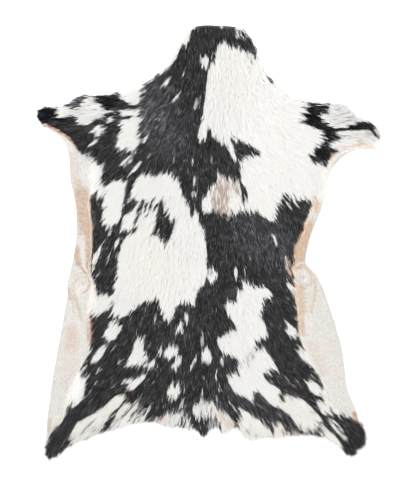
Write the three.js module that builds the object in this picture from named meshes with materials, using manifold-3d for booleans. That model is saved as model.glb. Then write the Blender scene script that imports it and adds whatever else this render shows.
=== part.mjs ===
// A goatskin rug: one tanned hide with the hair on, lying flat, hair side up, neck towards +Y.
// Millimetres, +Z up. The origin is on the floor, under the middle of the hide's footprint.
import * as THREE from "three";
import { mergeVertices } from "three/addons/utils/BufferGeometryUtils.js";
import Module from "manifold-3d";

// Driving dimensions
const hideLength = 900; // neck edge to the tips of the hind legs
const skinThickness = 1.6; // tanned skin alone
const downDepth = 0.9; // the very short hair on the flanks
const coatDepth = 5.4; // the long hair on back, neck and legs, lying down
const spineCrest = 1.6; // the coat stands higher where it parts along the spine
const crestWidth = 34; // half the width of that crest
const edgeRoll = 11; // how far in from the edge the coat reaches its full depth
const coatFade = 16; // width of the band where long hair thins out into down
const curveStep = 9; // length of one facet along the edge
const reliefStep = 13; // grid of the upper surface
const spareDepth = 30; // more than the hide's thickness, for the slabs that it is cut from
const tuftWidth = 8; // half of one tuft along a ragged edge
const tuftSlip = 0.8; // how unevenly the tufts stand, as a share of half a tuft

// The hide's edge, clockwise from the left of the neck, as runs that meet in corners.
// Points are [across, along], in mm on a hide 900 long; ragged is the depth of the hair tufts.
const drawnLength = 900;
const edgeRuns = [
  {
    run: "neck",
    ragged: 0,
    points: [[-63, 401], [-50, 431], [-20, 448], [30, 448], [72, 440], [98, 402]],
  },
  {
    run: "right shoulder",
    ragged: 0,
    points: [[98, 402], [108, 374], [130, 334], [165, 303], [204, 289]],
  },
  { run: "right foreleg front", ragged: 1.5, points: [[204, 289], [245, 285], [280, 283], [301, 258]] },
  {
    run: "right foreleg tip",
    ragged: 0,
    points: [[301, 258], [326, 252], [346, 234], [355, 208], [345, 193]],
  },
  {
    run: "right armpit",
    ragged: 0,
    points: [[345, 193], [306, 188], [272, 172], [249, 138], [241, 100]],
  },
  { run: "right waist", ragged: 0, points: [[241, 100], [230, 62], [212, 18], [201, -24], [200, -46]] },
  {
    run: "right flank",
    ragged: 0,
    points: [[200, -46], [226, -72], [252, -140], [275, -220], [283, -282]],
  },
  { run: "right thigh", ragged: 0, points: [[283, -282], [287, -307], [304, -345], [324, -388]] },
  {
    run: "right hind tip",
    ragged: 2,
    points: [[324, -388], [325, -412], [294, -443], [276, -428], [240, -402]],
  },
  {
    run: "tail",
    ragged: 3.5,
    points: [
      [240, -402], [200, -397], [148, -402], [104, -403], [82, -408], [60, -389], [44, -383], [33, -400],
      [20, -383], [2, -386], [-9, -402], [-22, -389], [-60, -382], [-94, -378], [-120, -372], [-150, -375],
      [-190, -385], [-215, -389], [-240, -404], [-272, -411],
    ],
  },
  { run: "left hind tip", ragged: 2, points: [[-272, -411], [-300, -431], [-329, -451], [-340, -422]] },
  {
    run: "left thigh",
    ragged: 0,
    points: [[-340, -422], [-336, -385], [-326, -310], [-319, -260], [-305, -186]],
  },
  { run: "left flank", ragged: 0, points: [[-305, -186], [-297, -138], [-292, -112], [-293, -86]] },
  {
    run: "left waist",
    ragged: 0,
    points: [[-293, -86], [-281, -40], [-273, 15], [-274, 70], [-286, 125]],
  },
  { run: "left armpit", ragged: 0, points: [[-286, 125], [-288, 175], [-302, 211], [-342, 240]] },
  {
    run: "left foreleg tip",
    ragged: 1.5,
    points: [[-342, 240], [-355, 259], [-342, 278], [-304, 277]],
  },
  {
    run: "left foreleg front",
    ragged: 1.5,
    points: [[-304, 277], [-281, 291], [-260, 303], [-222, 301], [-186, 308]],
  },
  {
    run: "left shoulder",
    ragged: 0,
    points: [[-186, 308], [-140, 321], [-108, 343], [-80, 378], [-63, 401]],
  },
];

// Where the long coat ends on each flank, from the legs' front edge to the tail
const coatLines = [
  { along: 480, left: -400, right: 400 },
  { along: 236, left: -330, right: 380 },
  { along: 196, left: -276, right: 290 },
  { along: 160, left: -232, right: 238 },
  { along: 110, left: -236, right: 232 },
  { along: 60, left: -243, right: 208 },
  { along: 0, left: -240, right: 183 },
  { along: -60, left: -236, right: 176 },
  { along: -120, left: -236, right: 184 },
  { along: -190, left: -243, right: 196 },
  { along: -250, left: -257, right: 222 },
  { along: -310, left: -262, right: 256 },
  { along: -350, left: -298, right: 290 },
  { along: -400, left: -344, right: 330 },
  { along: -480, left: -400, right: 400 },
];

// Creases that stand proud of the flat hide: soft ridges from one point to another
const creases = [
  { crease: "right foreleg", from: [236, 226], to: [340, 240], rise: 3.6, width: 15 },
  { crease: "right foreleg underside", from: [262, 196], to: [344, 200], rise: 1.6, width: 10 },
  { crease: "left foreleg", from: [-344, 262], to: [-232, 250], rise: 3.2, width: 16 },
  { crease: "left armpit", from: [-300, 216], to: [-262, 150], rise: 1.8, width: 13 },
  { crease: "left waist", from: [-274, 18], to: [-243, -62], rise: 2.2, width: 10 },
  { crease: "left flank", from: [-284, -96], to: [-262, -206], rise: 1.8, width: 11 },
  { crease: "right waist", from: [206, 30], to: [186, -48], rise: 2.0, width: 10 },
  { crease: "right flank", from: [222, -66], to: [208, -186], rise: 2.0, width: 11 },
  { crease: "left hind leg", from: [-250, -330], to: [-326, -432], rise: 2.4, width: 18 },
  { crease: "right hind leg", from: [236, -330], to: [308, -420], rise: 2.4, width: 18 },
];

// Hair whorls on the flanks: a low ring round a small hollow
const whorls = [
  { whorl: "left", at: [-261, -88], radius: 15, rise: 1.7, width: 7 },
  { whorl: "right", at: [201, -76], radius: 17, rise: 1.7, width: 7 },
];

const scale = hideLength / drawnLength;

// An even spread of values from 0 to 1, the same for the same n
const spread = (n) => Math.abs(Math.sin(n * 12.9898) * 43758.5453) % 1;

// A soft hump: 1 at no distance, near 0 a width away
const bump = (distance, width) => Math.exp(-2 * (distance / width) ** 2);

// One run of the edge as facets, with its tufts standing out to the side.
function facetsOf({ points, ragged }, firstTuft) {
  const curve = new THREE.SplineCurve(points.map(([x, y]) => new THREE.Vector2(x * scale, y * scale)));
  const step = ragged ? tuftWidth : curveStep;
  const count = Math.max(2, Math.round(curve.getLength() / step));
  return Array.from({ length: count }, (_, i) => {
    const slip = ragged && i > 0 ? tuftSlip * (spread(firstTuft - i) - 0.5) : 0;
    const at = curve.getPointAt((i + slip) / count);
    const along = curve.getTangentAt((i + slip) / count);
    const reach = i % 2 ? ragged * THREE.MathUtils.lerp(0.2, 1.5, spread(firstTuft + i)) : -ragged * 0.3;
    return i === 0 ? at : at.add(new THREE.Vector2(-along.y, along.x).multiplyScalar(reach));
  });
}

function hideOutline() {
  return edgeRuns.flatMap((run, i) => facetsOf(run, i * 100));
}

// How far a point is from the stretch of straight line between two others.
function distanceToStretch(point, from, to) {
  const line = new THREE.Line3(
    new THREE.Vector3(from[0] * scale, from[1] * scale, 0),
    new THREE.Vector3(to[0] * scale, to[1] * scale, 0),
  );
  return line.closestPointToPoint(point, true, new THREE.Vector3()).distanceTo(point);
}

function distanceToEdge(point, outline) {
  let nearest = Infinity;
  outline.forEach((a, i) => {
    const b = outline[(i + 1) % outline.length];
    const side = b.clone().sub(a);
    const share = THREE.MathUtils.clamp(point.clone().sub(a).dot(side) / side.lengthSq(), 0, 1);
    nearest = Math.min(nearest, a.clone().addScaledVector(side, share).distanceTo(point));
  });
  return nearest;
}

// Where the coat ends at this height of the hide: [left, right].
function coatEndsAt(y) {
  const below = coatLines.findIndex((row) => row.along * scale <= y);
  const [upper, lower] = [coatLines[below - 1], coatLines[below]];
  const share = (upper.along * scale - y) / ((upper.along - lower.along) * scale);
  return ["left", "right"].map((side) => THREE.MathUtils.lerp(upper[side], lower[side], share) * scale);
}

// Height of the upper surface over the floor.
function surfaceHeight(x, y, outline) {
  const point = new THREE.Vector3(x, y, 0);
  const [left, right] = coatEndsAt(y);
  const inCoat = THREE.MathUtils.smoothstep(Math.min(x - left, right - x), -coatFade / 2, coatFade / 2);
  const inFromEdge = THREE.MathUtils.clamp(distanceToEdge(new THREE.Vector2(x, y), outline) / edgeRoll, 0, 1);
  const roll = Math.sqrt(1 - (1 - inFromEdge) ** 2);
  const crest = spineCrest * bump(x, crestWidth) * inCoat;
  const folds = creases.map((c) => c.rise * bump(distanceToStretch(point, c.from, c.to), c.width));
  const rings = whorls.map(({ at, radius, rise, width }) => {
    const out = Math.hypot(x - at[0] * scale, y - at[1] * scale);
    return rise * bump(out - radius, width);
  });
  const raised = [...folds, ...rings].reduce((sum, rise) => sum + rise, 0);
  return skinThickness + (downDepth + (coatDepth - downDepth) * inCoat + crest) * roll + raised * roll;
}

// A block over the whole footprint whose top is the hair's surface. It reaches below the floor.
function surfaceBlock(outline) {
  const footprint = new THREE.Box2().setFromPoints(outline).expandByScalar(reliefStep);
  const middle = footprint.getCenter(new THREE.Vector2());
  const size = footprint.getSize(new THREE.Vector2());
  const across = Math.ceil(size.x / reliefStep);
  const along = Math.ceil(size.y / reliefStep);
  const block = new THREE.BoxGeometry(size.x, size.y, spareDepth, across, along, 1);
  block.translate(middle.x, middle.y, 0);
  const place = block.attributes.position;
  for (let i = 0; i < place.count; i++) {
    const top = place.getZ(i) > 0;
    place.setZ(i, top ? surfaceHeight(place.getX(i), place.getY(i), outline) : -spareDepth);
  }
  return block;
}

function solidOf(wasm, geometry) {
  const bare = geometry.clone();
  bare.deleteAttribute("normal");
  bare.deleteAttribute("uv");
  const merged = mergeVertices(bare, 1e-4);
  return new wasm.Manifold(
    new wasm.Mesh({
      numProp: 3,
      vertProperties: merged.attributes.position.array,
      triVerts: new Uint32Array(merged.index.array),
    }),
  );
}

function geometryOf(solid) {
  const { vertProperties, triVerts } = solid.getMesh();
  const geometry = new THREE.BufferGeometry();
  geometry.setAttribute("position", new THREE.BufferAttribute(new Float32Array(vertProperties), 3));
  geometry.setIndex(new THREE.BufferAttribute(new Uint32Array(triVerts), 1));
  geometry.computeVertexNormals();
  return geometry;
}

// The hide: its outline stood up as a slab, cut off at the hair's surface.
function buildHide(wasm) {
  const outline = hideOutline();
  const shape = new THREE.Shape(outline);
  const slab = new THREE.ExtrudeGeometry(shape, { depth: spareDepth, bevelEnabled: false });
  const solid = solidOf(wasm, slab).intersect(solidOf(wasm, surfaceBlock(outline)));
  const coat = new THREE.MeshStandardMaterial({ color: 0x77736f, roughness: 0.75, metalness: 0 });
  const hide = new THREE.Mesh(geometryOf(solid), coat);
  hide.name = "hide";
  return hide;
}

const wasm = await Module();
wasm.setup();

const goatskin = new THREE.Group();
const hide = buildHide(wasm);
hide.geometry.computeBoundingBox();
const middle = hide.geometry.boundingBox.getCenter(new THREE.Vector3());
hide.position.set(-middle.x, -middle.y, 0); // the origin goes under the middle of the footprint
goatskin.add(hide);

export default goatskin;
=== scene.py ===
import math

import bpy
import numpy as np
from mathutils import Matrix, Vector, geometry
from mathutils.bvhtree import BVHTree


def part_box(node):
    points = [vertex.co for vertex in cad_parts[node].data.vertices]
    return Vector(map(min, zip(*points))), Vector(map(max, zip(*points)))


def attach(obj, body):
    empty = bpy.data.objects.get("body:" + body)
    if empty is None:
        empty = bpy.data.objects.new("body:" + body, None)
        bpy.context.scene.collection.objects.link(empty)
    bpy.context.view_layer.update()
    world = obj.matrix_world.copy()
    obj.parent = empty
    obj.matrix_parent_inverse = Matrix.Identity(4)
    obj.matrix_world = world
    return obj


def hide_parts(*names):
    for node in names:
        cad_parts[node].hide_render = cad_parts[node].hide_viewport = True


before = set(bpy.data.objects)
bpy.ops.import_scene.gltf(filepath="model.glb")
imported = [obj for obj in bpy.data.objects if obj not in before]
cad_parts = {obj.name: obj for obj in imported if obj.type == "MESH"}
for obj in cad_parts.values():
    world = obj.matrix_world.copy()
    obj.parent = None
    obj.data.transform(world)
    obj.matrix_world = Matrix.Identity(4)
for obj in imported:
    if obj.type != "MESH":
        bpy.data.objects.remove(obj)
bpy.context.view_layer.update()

hideLow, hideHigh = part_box("hide")
mm = (hideHigh.y - hideLow.y) / 901.5  # one millimetre on a hide of the usual length
dice = np.random.default_rng(41)

studio = {
    "lens": 100,
    "viewHeight": 1001 * mm,  # what the frame takes in, from top to bottom
    "aim": (0.0, 0.0),
    "keyPower": 42, "keySize": 1.4, "keyPlace": (-0.9, 0.9, 1.9),
    "fillPower": 14, "fillSize": 2.4, "fillPlace": (1.3, -0.9, 1.8),
    "sky": 0.84,
    "floorHalf": 6,  # metres from the middle of the floor to its edge
    "floorColor": (0.8, 0.8, 0.8), "floorClouds": (0.88, 0.88, 0.88),
    "cloudScale": 3, "cloudShare": 0.2,  # of the floor's faint clouds
    "filterWidth": 1.1,
}


def makeCamera():
    data = bpy.data.cameras.new("overheadCamera")
    data.lens = studio["lens"]
    data.sensor_width = 36
    camera = bpy.data.objects.new("overheadCamera", data)
    bpy.context.collection.objects.link(camera)
    distance = studio["viewHeight"] * data.lens / data.sensor_width
    camera.location = (*studio["aim"], distance)  # looks straight down, with the neck at the top
    bpy.context.scene.camera = camera


def makeLamp(name, power, size, place):
    data = bpy.data.lights.new(name, "AREA")
    data.energy, data.size = power, size
    lamp = bpy.data.objects.new(name, data)
    lamp.location = place
    lamp.rotation_euler = (-Vector(place)).to_track_quat("-Z", "Y").to_euler()
    bpy.context.collection.objects.link(lamp)


def makeSky():
    world = bpy.data.worlds.new("studioSky")
    world.use_nodes = True
    world.node_tree.nodes["Background"].inputs["Color"].default_value = (1, 1, 1, 1)
    world.node_tree.nodes["Background"].inputs["Strength"].default_value = studio["sky"]
    bpy.context.scene.world = world


makeCamera()
makeLamp("keyLamp", studio["keyPower"], studio["keySize"], studio["keyPlace"])
makeLamp("fillLamp", studio["fillPower"], studio["fillSize"], studio["fillPlace"])
makeSky()
bpy.context.scene.view_settings.view_transform = "Standard"
bpy.context.scene.cycles.filter_width = studio["filterWidth"]
print("studio ready")


class Wire:  # one socket, so that shader maths reads as plain sums
    def __init__(self, shader, socket):
        self.shader, self.socket = shader, socket

    def sum(self, operation, first, second):
        return self.shader.node("ShaderNodeMath", {"operation": operation}, {0: first, 1: second})

    def __add__(self, other):
        return self.sum("ADD", self, other)

    def __sub__(self, other):
        return self.sum("SUBTRACT", self, other)

    def __rsub__(self, other):
        return self.sum("SUBTRACT", other, self)

    def __mul__(self, other):
        return self.sum("MULTIPLY", self, other)

    __radd__, __rmul__ = __add__, __mul__


class Shader:
    def __init__(self, name):
        self.material = bpy.data.materials.new(name)
        self.material.use_nodes = True
        self.tree = self.material.node_tree
        self.tree.nodes.clear()

    def node(self, kind, settings, sockets, out=0):
        made = self.tree.nodes.new(kind)
        for key, value in settings.items():
            if key == "stops":
                self.setStops(made.color_ramp, value)
            else:
                setattr(made, key, value)
        for key, value in sockets.items():
            if isinstance(value, Wire):
                self.tree.links.new(value.socket, made.inputs[key])
            else:
                made.inputs[key].default_value = value
        return Wire(self, made.outputs[out])

    def setStops(self, ramp, stops):
        while len(ramp.elements) < len(stops):
            ramp.elements.new(0.5)
        for element, (place, color) in zip(ramp.elements, stops):
            element.position, element.color = place, color

    def blend(self, mode, factor, first, second):
        settings = {"data_type": "RGBA", "blend_type": mode}
        return self.node("ShaderNodeMix", settings, {0: factor, 6: first, 7: second}, out=2)

    def finish(self, sockets):
        surface = self.node("ShaderNodeBsdfPrincipled", {}, sockets)
        output = self.tree.nodes.new("ShaderNodeOutputMaterial")
        self.tree.links.new(surface.socket, output.inputs["Surface"])
        return self.material


def linear(color):  # a colour as a paint chart gives it, 0 to 255, turned into light
    value = np.asarray(color, float) / 255
    return np.where(value <= 0.04045, value / 12.92, ((value + 0.055) / 1.055) ** 2.4)


# All places on the hide are in mm from a point between the shoulders and the hips, x across and
# y towards the neck, on a hide of the usual length.
zero = (1.1, 1.1)  # where the map's zero lies, in mm from the middle of the hide's box
mapHalf = (372, 466)  # how far a map of the hide reaches from its zero
neckCut = 425  # y beyond which the hide ends in the straight cut of the neck


class Field:  # values on an even grid over the hide, read between the grid's points
    def __init__(self, step):
        self.step = step
        self.xs = np.arange(-mapHalf[0], mapHalf[0] + step, step)
        self.ys = np.arange(-mapHalf[1], mapHalf[1] + step, step)
        self.x, self.y = np.meshgrid(self.xs, self.ys)
        self.layers = {}

    def read(self, layer, x, y):
        grid = self.layers[layer]
        across = np.clip((x - self.xs[0]) / self.step, 0, len(self.xs) - 1.001)
        along = np.clip((y - self.ys[0]) / self.step, 0, len(self.ys) - 1.001)
        i, j = across.astype(int), along.astype(int)
        u, v = across - i, along - j
        low = grid[j, i] * (1 - u) + grid[j, i + 1] * u
        high = grid[j + 1, i] * (1 - u) + grid[j + 1, i + 1] * u
        return low * (1 - v) + high * v

    def cellOf(self, x, y):  # row and column of the nearest grid point
        i = np.clip(np.rint((x - self.xs[0]) / self.step).astype(int), 0, len(self.xs) - 1)
        j = np.clip(np.rint((y - self.ys[0]) / self.step).astype(int), 0, len(self.ys) - 1)
        return j, i

    def blockOf(self, points, margin):  # the part of the grid round some points
        low = np.floor((points.min(0) - margin - (self.xs[0], self.ys[0])) / self.step).astype(int)
        high = np.ceil((points.max(0) + margin - (self.xs[0], self.ys[0])) / self.step).astype(int) + 1
        return np.s_[max(low[1], 0):max(high[1], 0), max(low[0], 0):max(high[0], 0)]


def smoothRing(points, steps=5):  # a closed curve through a few points
    ring = np.asarray(points, float)
    before, after, later = np.roll(ring, 1, 0), np.roll(ring, -1, 0), np.roll(ring, -2, 0)
    t = np.linspace(0, 1, steps, endpoint=False)[None, :, None]
    a, b, c, d = (p[:, None, :] for p in (before, ring, after, later))
    curve = 0.5 * (2 * b + (c - a) * t + (2 * a - 5 * b + 4 * c - d) * t**2 + (3 * b - a - 3 * c + d) * t**3)
    return curve.reshape(-1, 2)


def insideRing(ring, x, y):
    inside = np.zeros(x.shape, bool)
    for (x1, y1), (x2, y2) in zip(ring, np.roll(ring, -1, 0)):
        if y1 != y2:
            crosses = (y1 > y) != (y2 > y)
            inside ^= crosses & (x < (x2 - x1) * (y - y1) / (y2 - y1) + x1)
    return inside


def nearLine(points, x, y, closed=False):  # how far each place is from a line, and how far along it, 0 to 1
    line = np.asarray(points, float)
    ends = np.roll(line, -1, 0) if closed else line[1:]
    steps = np.maximum(np.linalg.norm(ends - line[:len(ends)], axis=1), 1e-6)
    best, along, run = np.full(x.shape, 1e9), np.zeros(x.shape), 0.0
    for (x1, y1), (x2, y2), step in zip(line, ends, steps):
        t = np.clip(((x - x1) * (x2 - x1) + (y - y1) * (y2 - y1)) / step**2, 0, 1)
        away = (x - x1 - t * (x2 - x1)) ** 2 + (y - y1 - t * (y2 - y1)) ** 2
        along = np.where(away < best, run + t * step, along)
        best = np.minimum(away, best)
        run += step
    return np.sqrt(best), along / run


def signedDistance(ring, field):  # mm in from the ring's edge, less than 0 outside it
    away, _ = nearLine(ring, field.x, field.y, closed=True)
    return np.where(insideRing(ring, field.x, field.y), away, -away)


def drawnOut(field, grain, reach):  # uneven values drawn out along the lie of the hair
    speckle = Field(grain)
    speckle.layers["raw"] = dice.normal(0, 1, speckle.x.shape)
    total = np.zeros(field.x.shape)
    for way in (-grain, grain):
        x, y = field.x, field.y
        for _ in range(round(reach / grain / 2)):
            total += speckle.read("raw", x, y)
            x, y = x + way * lie.read("headX", x, y), y + way * lie.read("headY", x, y)
    return total / total.std()


def softStep(value, low, high):
    t = np.clip((value - low) / (high - low), 0, 1)
    return t * t * (3 - 2 * t)


def signedArea(ring):
    x, y = ring.T
    return 0.5 * float((x * np.roll(y, -1) - np.roll(x, -1) * y).sum())


def rimOfNode(name):  # the edge of the node's flat underside, in order, in map mm
    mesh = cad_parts[name].data
    place = np.empty(len(mesh.vertices) * 3)
    mesh.vertices.foreach_get("co", place)
    place = place.reshape(-1, 3)
    floor = place[:, 2].min() + 1e-5
    keys = [tuple(np.rint(p[:2] * 1e6).astype(int)) for p in place]
    sides = {}
    for face in mesh.polygons:
        corners = list(face.vertices)
        if all(place[c, 2] < floor for c in corners):
            for a, b in zip(corners, corners[1:] + corners[:1]):
                sides[keys[a], keys[b]] = True
    following = {a: b for a, b in sides if (b, a) not in sides}
    start = key = min(following)
    ring = [start]
    while (key := following[key]) != start:
        ring.append(key)
    ring = np.array(ring) * 1e-6 / mm - zero
    return ring[::-1] if signedArea(ring) < 0 else ring


def evenRing(ring, step):  # the same ring with points an even step apart
    closed = np.vstack([ring, ring[:1]])
    run = np.concatenate([[0], np.cumsum(np.linalg.norm(np.diff(closed, axis=0), axis=1))])
    at = np.linspace(0, run[-1], int(run[-1] / step), endpoint=False)
    return np.column_stack([np.interp(at, run, closed[:, k]) for k in (0, 1)])


def softened(values, passes):
    for _ in range(passes):
        values = (np.roll(values, 1, 0) + 2 * values + np.roll(values, -1, 0)) / 4
    return values


def outward(ring):  # the ring runs anticlockwise
    along = np.roll(ring, -1, 0) - np.roll(ring, 1, 0)
    normal = np.column_stack([along[:, 1], -along[:, 0]])
    return normal / np.linalg.norm(normal, axis=1, keepdims=True)


# Which way the hair lies: heading 0 points right, 90 to the neck, 180 left, 270 to the tail
hairLie = {
    "reach": 34,  # how far one row counts
    "farPull": 1e-4,  # how much it still counts beyond that
    "swirl": 1.6,  # how strongly the whorls turn the hair
    "rows": [  # x, y, heading
        # neck
        (-48, 415, 252), (-20, 425, 266), (10, 400, 277), (40, 415, 268), (75, 430, 302),
        (92, 398, 285), (-85, 365, 238), (-30, 370, 262), (30, 350, 268), (90, 350, 283),
        (118, 345, 300),
        # left shoulder and foreleg
        (-110, 330, 226), (-60, 310, 240), (-20, 290, 258), (-135, 308, 205), (-170, 298, 176),
        (-100, 270, 240), (-165, 265, 186), (-205, 292, 168), (-250, 280, 172), (-300, 266, 184),
        (-340, 262, 190), (-205, 252, 190), (-240, 235, 210), (-290, 245, 188), (-168, 225, 218),
        (-120, 220, 236), (-60, 230, 250), (-15, 225, 264), (-235, 200, 222), (-165, 170, 230),
        (-100, 165, 242), (-50, 160, 256), (-245, 165, 226),
        # left side
        (-215, 110, 232), (-150, 110, 236), (-100, 110, 238), (-55, 100, 250), (-30, 110, 262),
        (-200, 60, 246), (-160, 45, 240), (-125, 60, 238), (-90, 40, 245), (-50, 40, 262),
        (-230, 20, 248), (-205, -20, 243), (-165, -20, 250), (-110, -20, 258), (-60, -20, 268),
        (-20, -10, 274), (-225, -60, 244), (-190, -80, 243), (-140, -80, 246), (-90, -80, 262),
        (-40, -80, 270), (-225, -125, 226), (-185, -140, 236), (-120, -130, 248), (-82, -150, 268),
        (-40, -130, 272), (-235, -175, 232), (-200, -180, 226), (-140, -190, 246),
        # left hip and hind leg
        (-90, -190, 262), (-40, -190, 268), (-230, -235, 228), (-185, -245, 226), (-145, -235, 244),
        (-110, -250, 244), (-70, -245, 262), (-35, -250, 258), (-245, -290, 232), (-200, -300, 226),
        (-150, -290, 224), (-110, -300, 246), (-70, -310, 264), (-195, -340, 225), (-250, -345, 226),
        (-160, -350, 228), (-120, -350, 236), (-80, -360, 246), (-245, -385, 228), (-290, -380, 234),
        (-320, -420, 230), (-200, -375, 230), (-50, -345, 262), (-45, -375, 252),
        # tail
        (-8, -340, 270), (-8, -385, 262), (30, -370, 282), (-5, -240, 270), (0, -290, 272),
        (0, -150, 270),
        # right shoulder and foreleg
        (2, 300, 258), (50, 290, 276), (100, 300, 298), (145, 310, 322), (0, 245, 262), (35, 225, 286),
        (85, 240, 300), (140, 260, 318), (185, 275, 342), (180, 240, 330), (220, 268, 350),
        (215, 245, 345), (262, 270, 28), (280, 255, 8), (245, 228, 340), (290, 215, 5),
        (325, 238, 340), (345, 218, 300), (235, 190, 320), (255, 205, 335), (200, 200, 322),
        (150, 200, 314), (100, 190, 312), (60, 190, 300), (20, 180, 276), (0, 140, 272),
        (40, 140, 280), (70, 140, 292), (120, 140, 310), (180, 150, 318), (225, 150, 308),
        # right side
        (38, 90, 274), (75, 100, 284), (120, 90, 304), (165, 90, 305), (205, 90, 308), (5, 80, 270),
        (40, 30, 272), (90, 30, 280), (130, 50, 298), (140, 0, 288), (185, 40, 285), (40, -40, 272),
        (100, -40, 280), (150, -50, 284), (170, -30, 282), (40, -100, 278), (75, -90, 288),
        (112, -100, 306), (60, -140, 286), (100, -140, 294), (140, -130, 296), (172, -95, 308),
        (178, -140, 306),
        # right hip and hind leg
        (35, -200, 282), (70, -190, 290), (110, -190, 298), (145, -200, 300), (172, -182, 312),
        (185, -210, 314), (60, -240, 292), (105, -245, 304), (150, -255, 306), (200, -235, 316),
        (220, -265, 316), (60, -285, 296), (90, -310, 304), (125, -315, 314), (170, -290, 308),
        (190, -345, 314), (218, -300, 318), (160, -335, 318), (60, -340, 312), (85, -370, 300),
        (110, -395, 282), (150, -385, 284), (125, -350, 308), (200, -385, 300), (232, -350, 314),
        (262, -345, 320), (255, -395, 318), (280, -385, 315), (300, -400, 312), (300, -430, 300),
        # flanks
        (-300, 225, 174), (-275, 208, 192), (-280, 160, 262), (-262, 90, 268), (-262, 10, 264),
        (-282, -150, 262), (-262, -180, 248), (-295, -230, 262), (-275, -290, 250), (-318, -330, 262),
        (-300, -350, 242), (300, 195, 4), (255, 155, 300), (230, 110, 282), (215, 50, 262),
        (192, 0, 262), (225, -130, 286), (200, -150, 292), (245, -200, 284), (225, -240, 292),
        (265, -270, 284), (250, -300, 306), (285, -330, 300),
    ],
    "whorls": [(-261, -88, 22), (201, -76, 24)],  # x, y, size of the swirls on the flanks
}


# Where the hide itself ends a little inside its outline, and hair makes up the rest: x, y, size, mm
setBack = [
    (15, 448, 60, 1.2), (-356, 262, 30, 1), (-332, -444, 40, 4), (322, -415, 40, 4),
    (-240, -410, 50, 3), (-150, -388, 60, 3.5), (-60, -394, 50, 3.5), (20, -396, 50, 3.5),
    (110, -406, 50, 3.5), (200, -400, 50, 3),
]
mostSetBack = 4.5
rimStep = 4  # spacing of the points along the hide's edge
rim = evenRing(rimOfNode("hide"), rimStep)
back = sum(d * np.exp(-((rim[:, 0] - x) ** 2 + (rim[:, 1] - y) ** 2) / size**2) for x, y, size, d in setBack)
rim = rim - outward(softened(rim, 3)) * np.minimum(back, mostSetBack)[:, None]
lie = Field(6)
headX, headY = np.zeros(lie.x.shape), np.zeros(lie.x.shape)
for guideX, guideY, heading in hairLie["rows"]:
    away = ((lie.x - guideX) ** 2 + (lie.y - guideY) ** 2) / hairLie["reach"] ** 2
    pull = np.exp(-away) + hairLie["farPull"] / (1 + away) ** 2
    headX += pull * math.cos(math.radians(heading))
    headY += pull * math.sin(math.radians(heading))
size = np.hypot(headX, headY)
headX, headY = headX / size, headY / size
for centreX, centreY, reach in hairLie["whorls"]:
    awayX, awayY = lie.x - centreX, lie.y - centreY
    away = np.hypot(awayX, awayY) + 1e-6
    swirl = hairLie["swirl"] * np.exp(-((away / reach) ** 2)) * np.sign(centreX)
    headX, headY = headX + swirl * awayY / away, headY - swirl * awayX / away
size = np.hypot(headX, headY)
lie.layers["headX"], lie.layers["headY"] = headX / size, headY / size

# Where the coat is only short down: the two flanks, each as a ring that runs past the hide's edge
flanks = {
    "left": [
        (-356, 248), (-340, 242), (-326, 240), (-310, 233), (-295, 224), (-283, 214), (-274, 201),
        (-264, 187), (-254, 179), (-243, 162), (-237, 132), (-239, 108), (-245, 88),
        (-244, 70), (-242, 50), (-240, 30), (-240, 0), (-240, -20), (-243, -40), (-243, -60),
        (-242, -76), (-238, -96), (-240, -120), (-245, -142), (-244, -160), (-243, -180), (-244, -200),
        (-245, -222), (-250, -236), (-257, -248), (-264, -262), (-276, -280), (-284, -300),
        (-289, -322), (-292, -340), (-298, -362), (-306, -376), (-318, -384), (-330, -404),
        (-342, -424), (-380, -424), (-380, 230),
    ],
    "right": [
        (356, 192), (320, 196), (300, 196), (274, 190), (258, 184), (250, 175), (246, 168), (240, 150),
        (236, 130), (234, 112), (228, 96), (217, 84), (213, 70), (208, 60), (203, 50), (199, 40),
        (196, 28), (192, 16), (188, 5), (181, -3), (178, -12), (176, -28), (174, -44), (174, -60),
        (177, -76), (180, -92), (178, -108), (180, -124), (182, -140), (184, -160), (186, -180),
        (189, -198), (194, -213), (203, -230), (208, -248), (217, -262), (225, -275), (231, -284),
        (236, -296), (236, -306), (236, -318), (246, -332), (262, -346), (278, -356), (292, -361),
        (302, -367), (311, -374), (319, -381), (330, -387), (380, -389), (380, 180),
    ],
}

coatEdge = (-7, 9)  # where the long coat thins out, in mm into a flank
ground = Field(2)
ground.layers["inside"] = signedDistance(rim, ground)
flankDepth = np.maximum(*(signedDistance(smoothRing(ring, 4), ground) for ring in flanks.values()))
ground.layers["flank"] = flankDepth
ground.layers["coat"] = 1 - softStep(flankDepth, *coatEdge)  # 1 in the long coat, 0 in the down

tree = BVHTree.FromObject(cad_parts["hide"], bpy.context.evaluated_depsgraph_get())
edgeHeight = 2.5  # height of the hide along its edge, in mm
relief = Field(6)
top = np.full(relief.x.shape, np.nan)
for j, i in np.ndindex(relief.x.shape):
    above = Vector(((relief.x[j, i] + zero[0]) * mm, (relief.y[j, i] + zero[1]) * mm, 0.1))
    hit = tree.ray_cast(above, Vector((0, 0, -1)))
    if hit[0] is not None:
        top[j, i] = hit[0].z / mm
for _ in range(12):  # carry the height a little past the edge
    gaps = np.isnan(top)
    around = [np.roll(top, shift, axis) for shift in (-1, 1) for axis in (0, 1)]
    beside = np.nanmean(np.nan_to_num(around, nan=edgeHeight), 0)
    top = np.where(gaps & ~np.all(np.isnan(around), 0), beside, top)
relief.layers["top"] = np.nan_to_num(top, nan=edgeHeight)
print("map ready: rim", len(rim), "points, hair lie", len(hairLie["rows"]), "rows")


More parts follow.
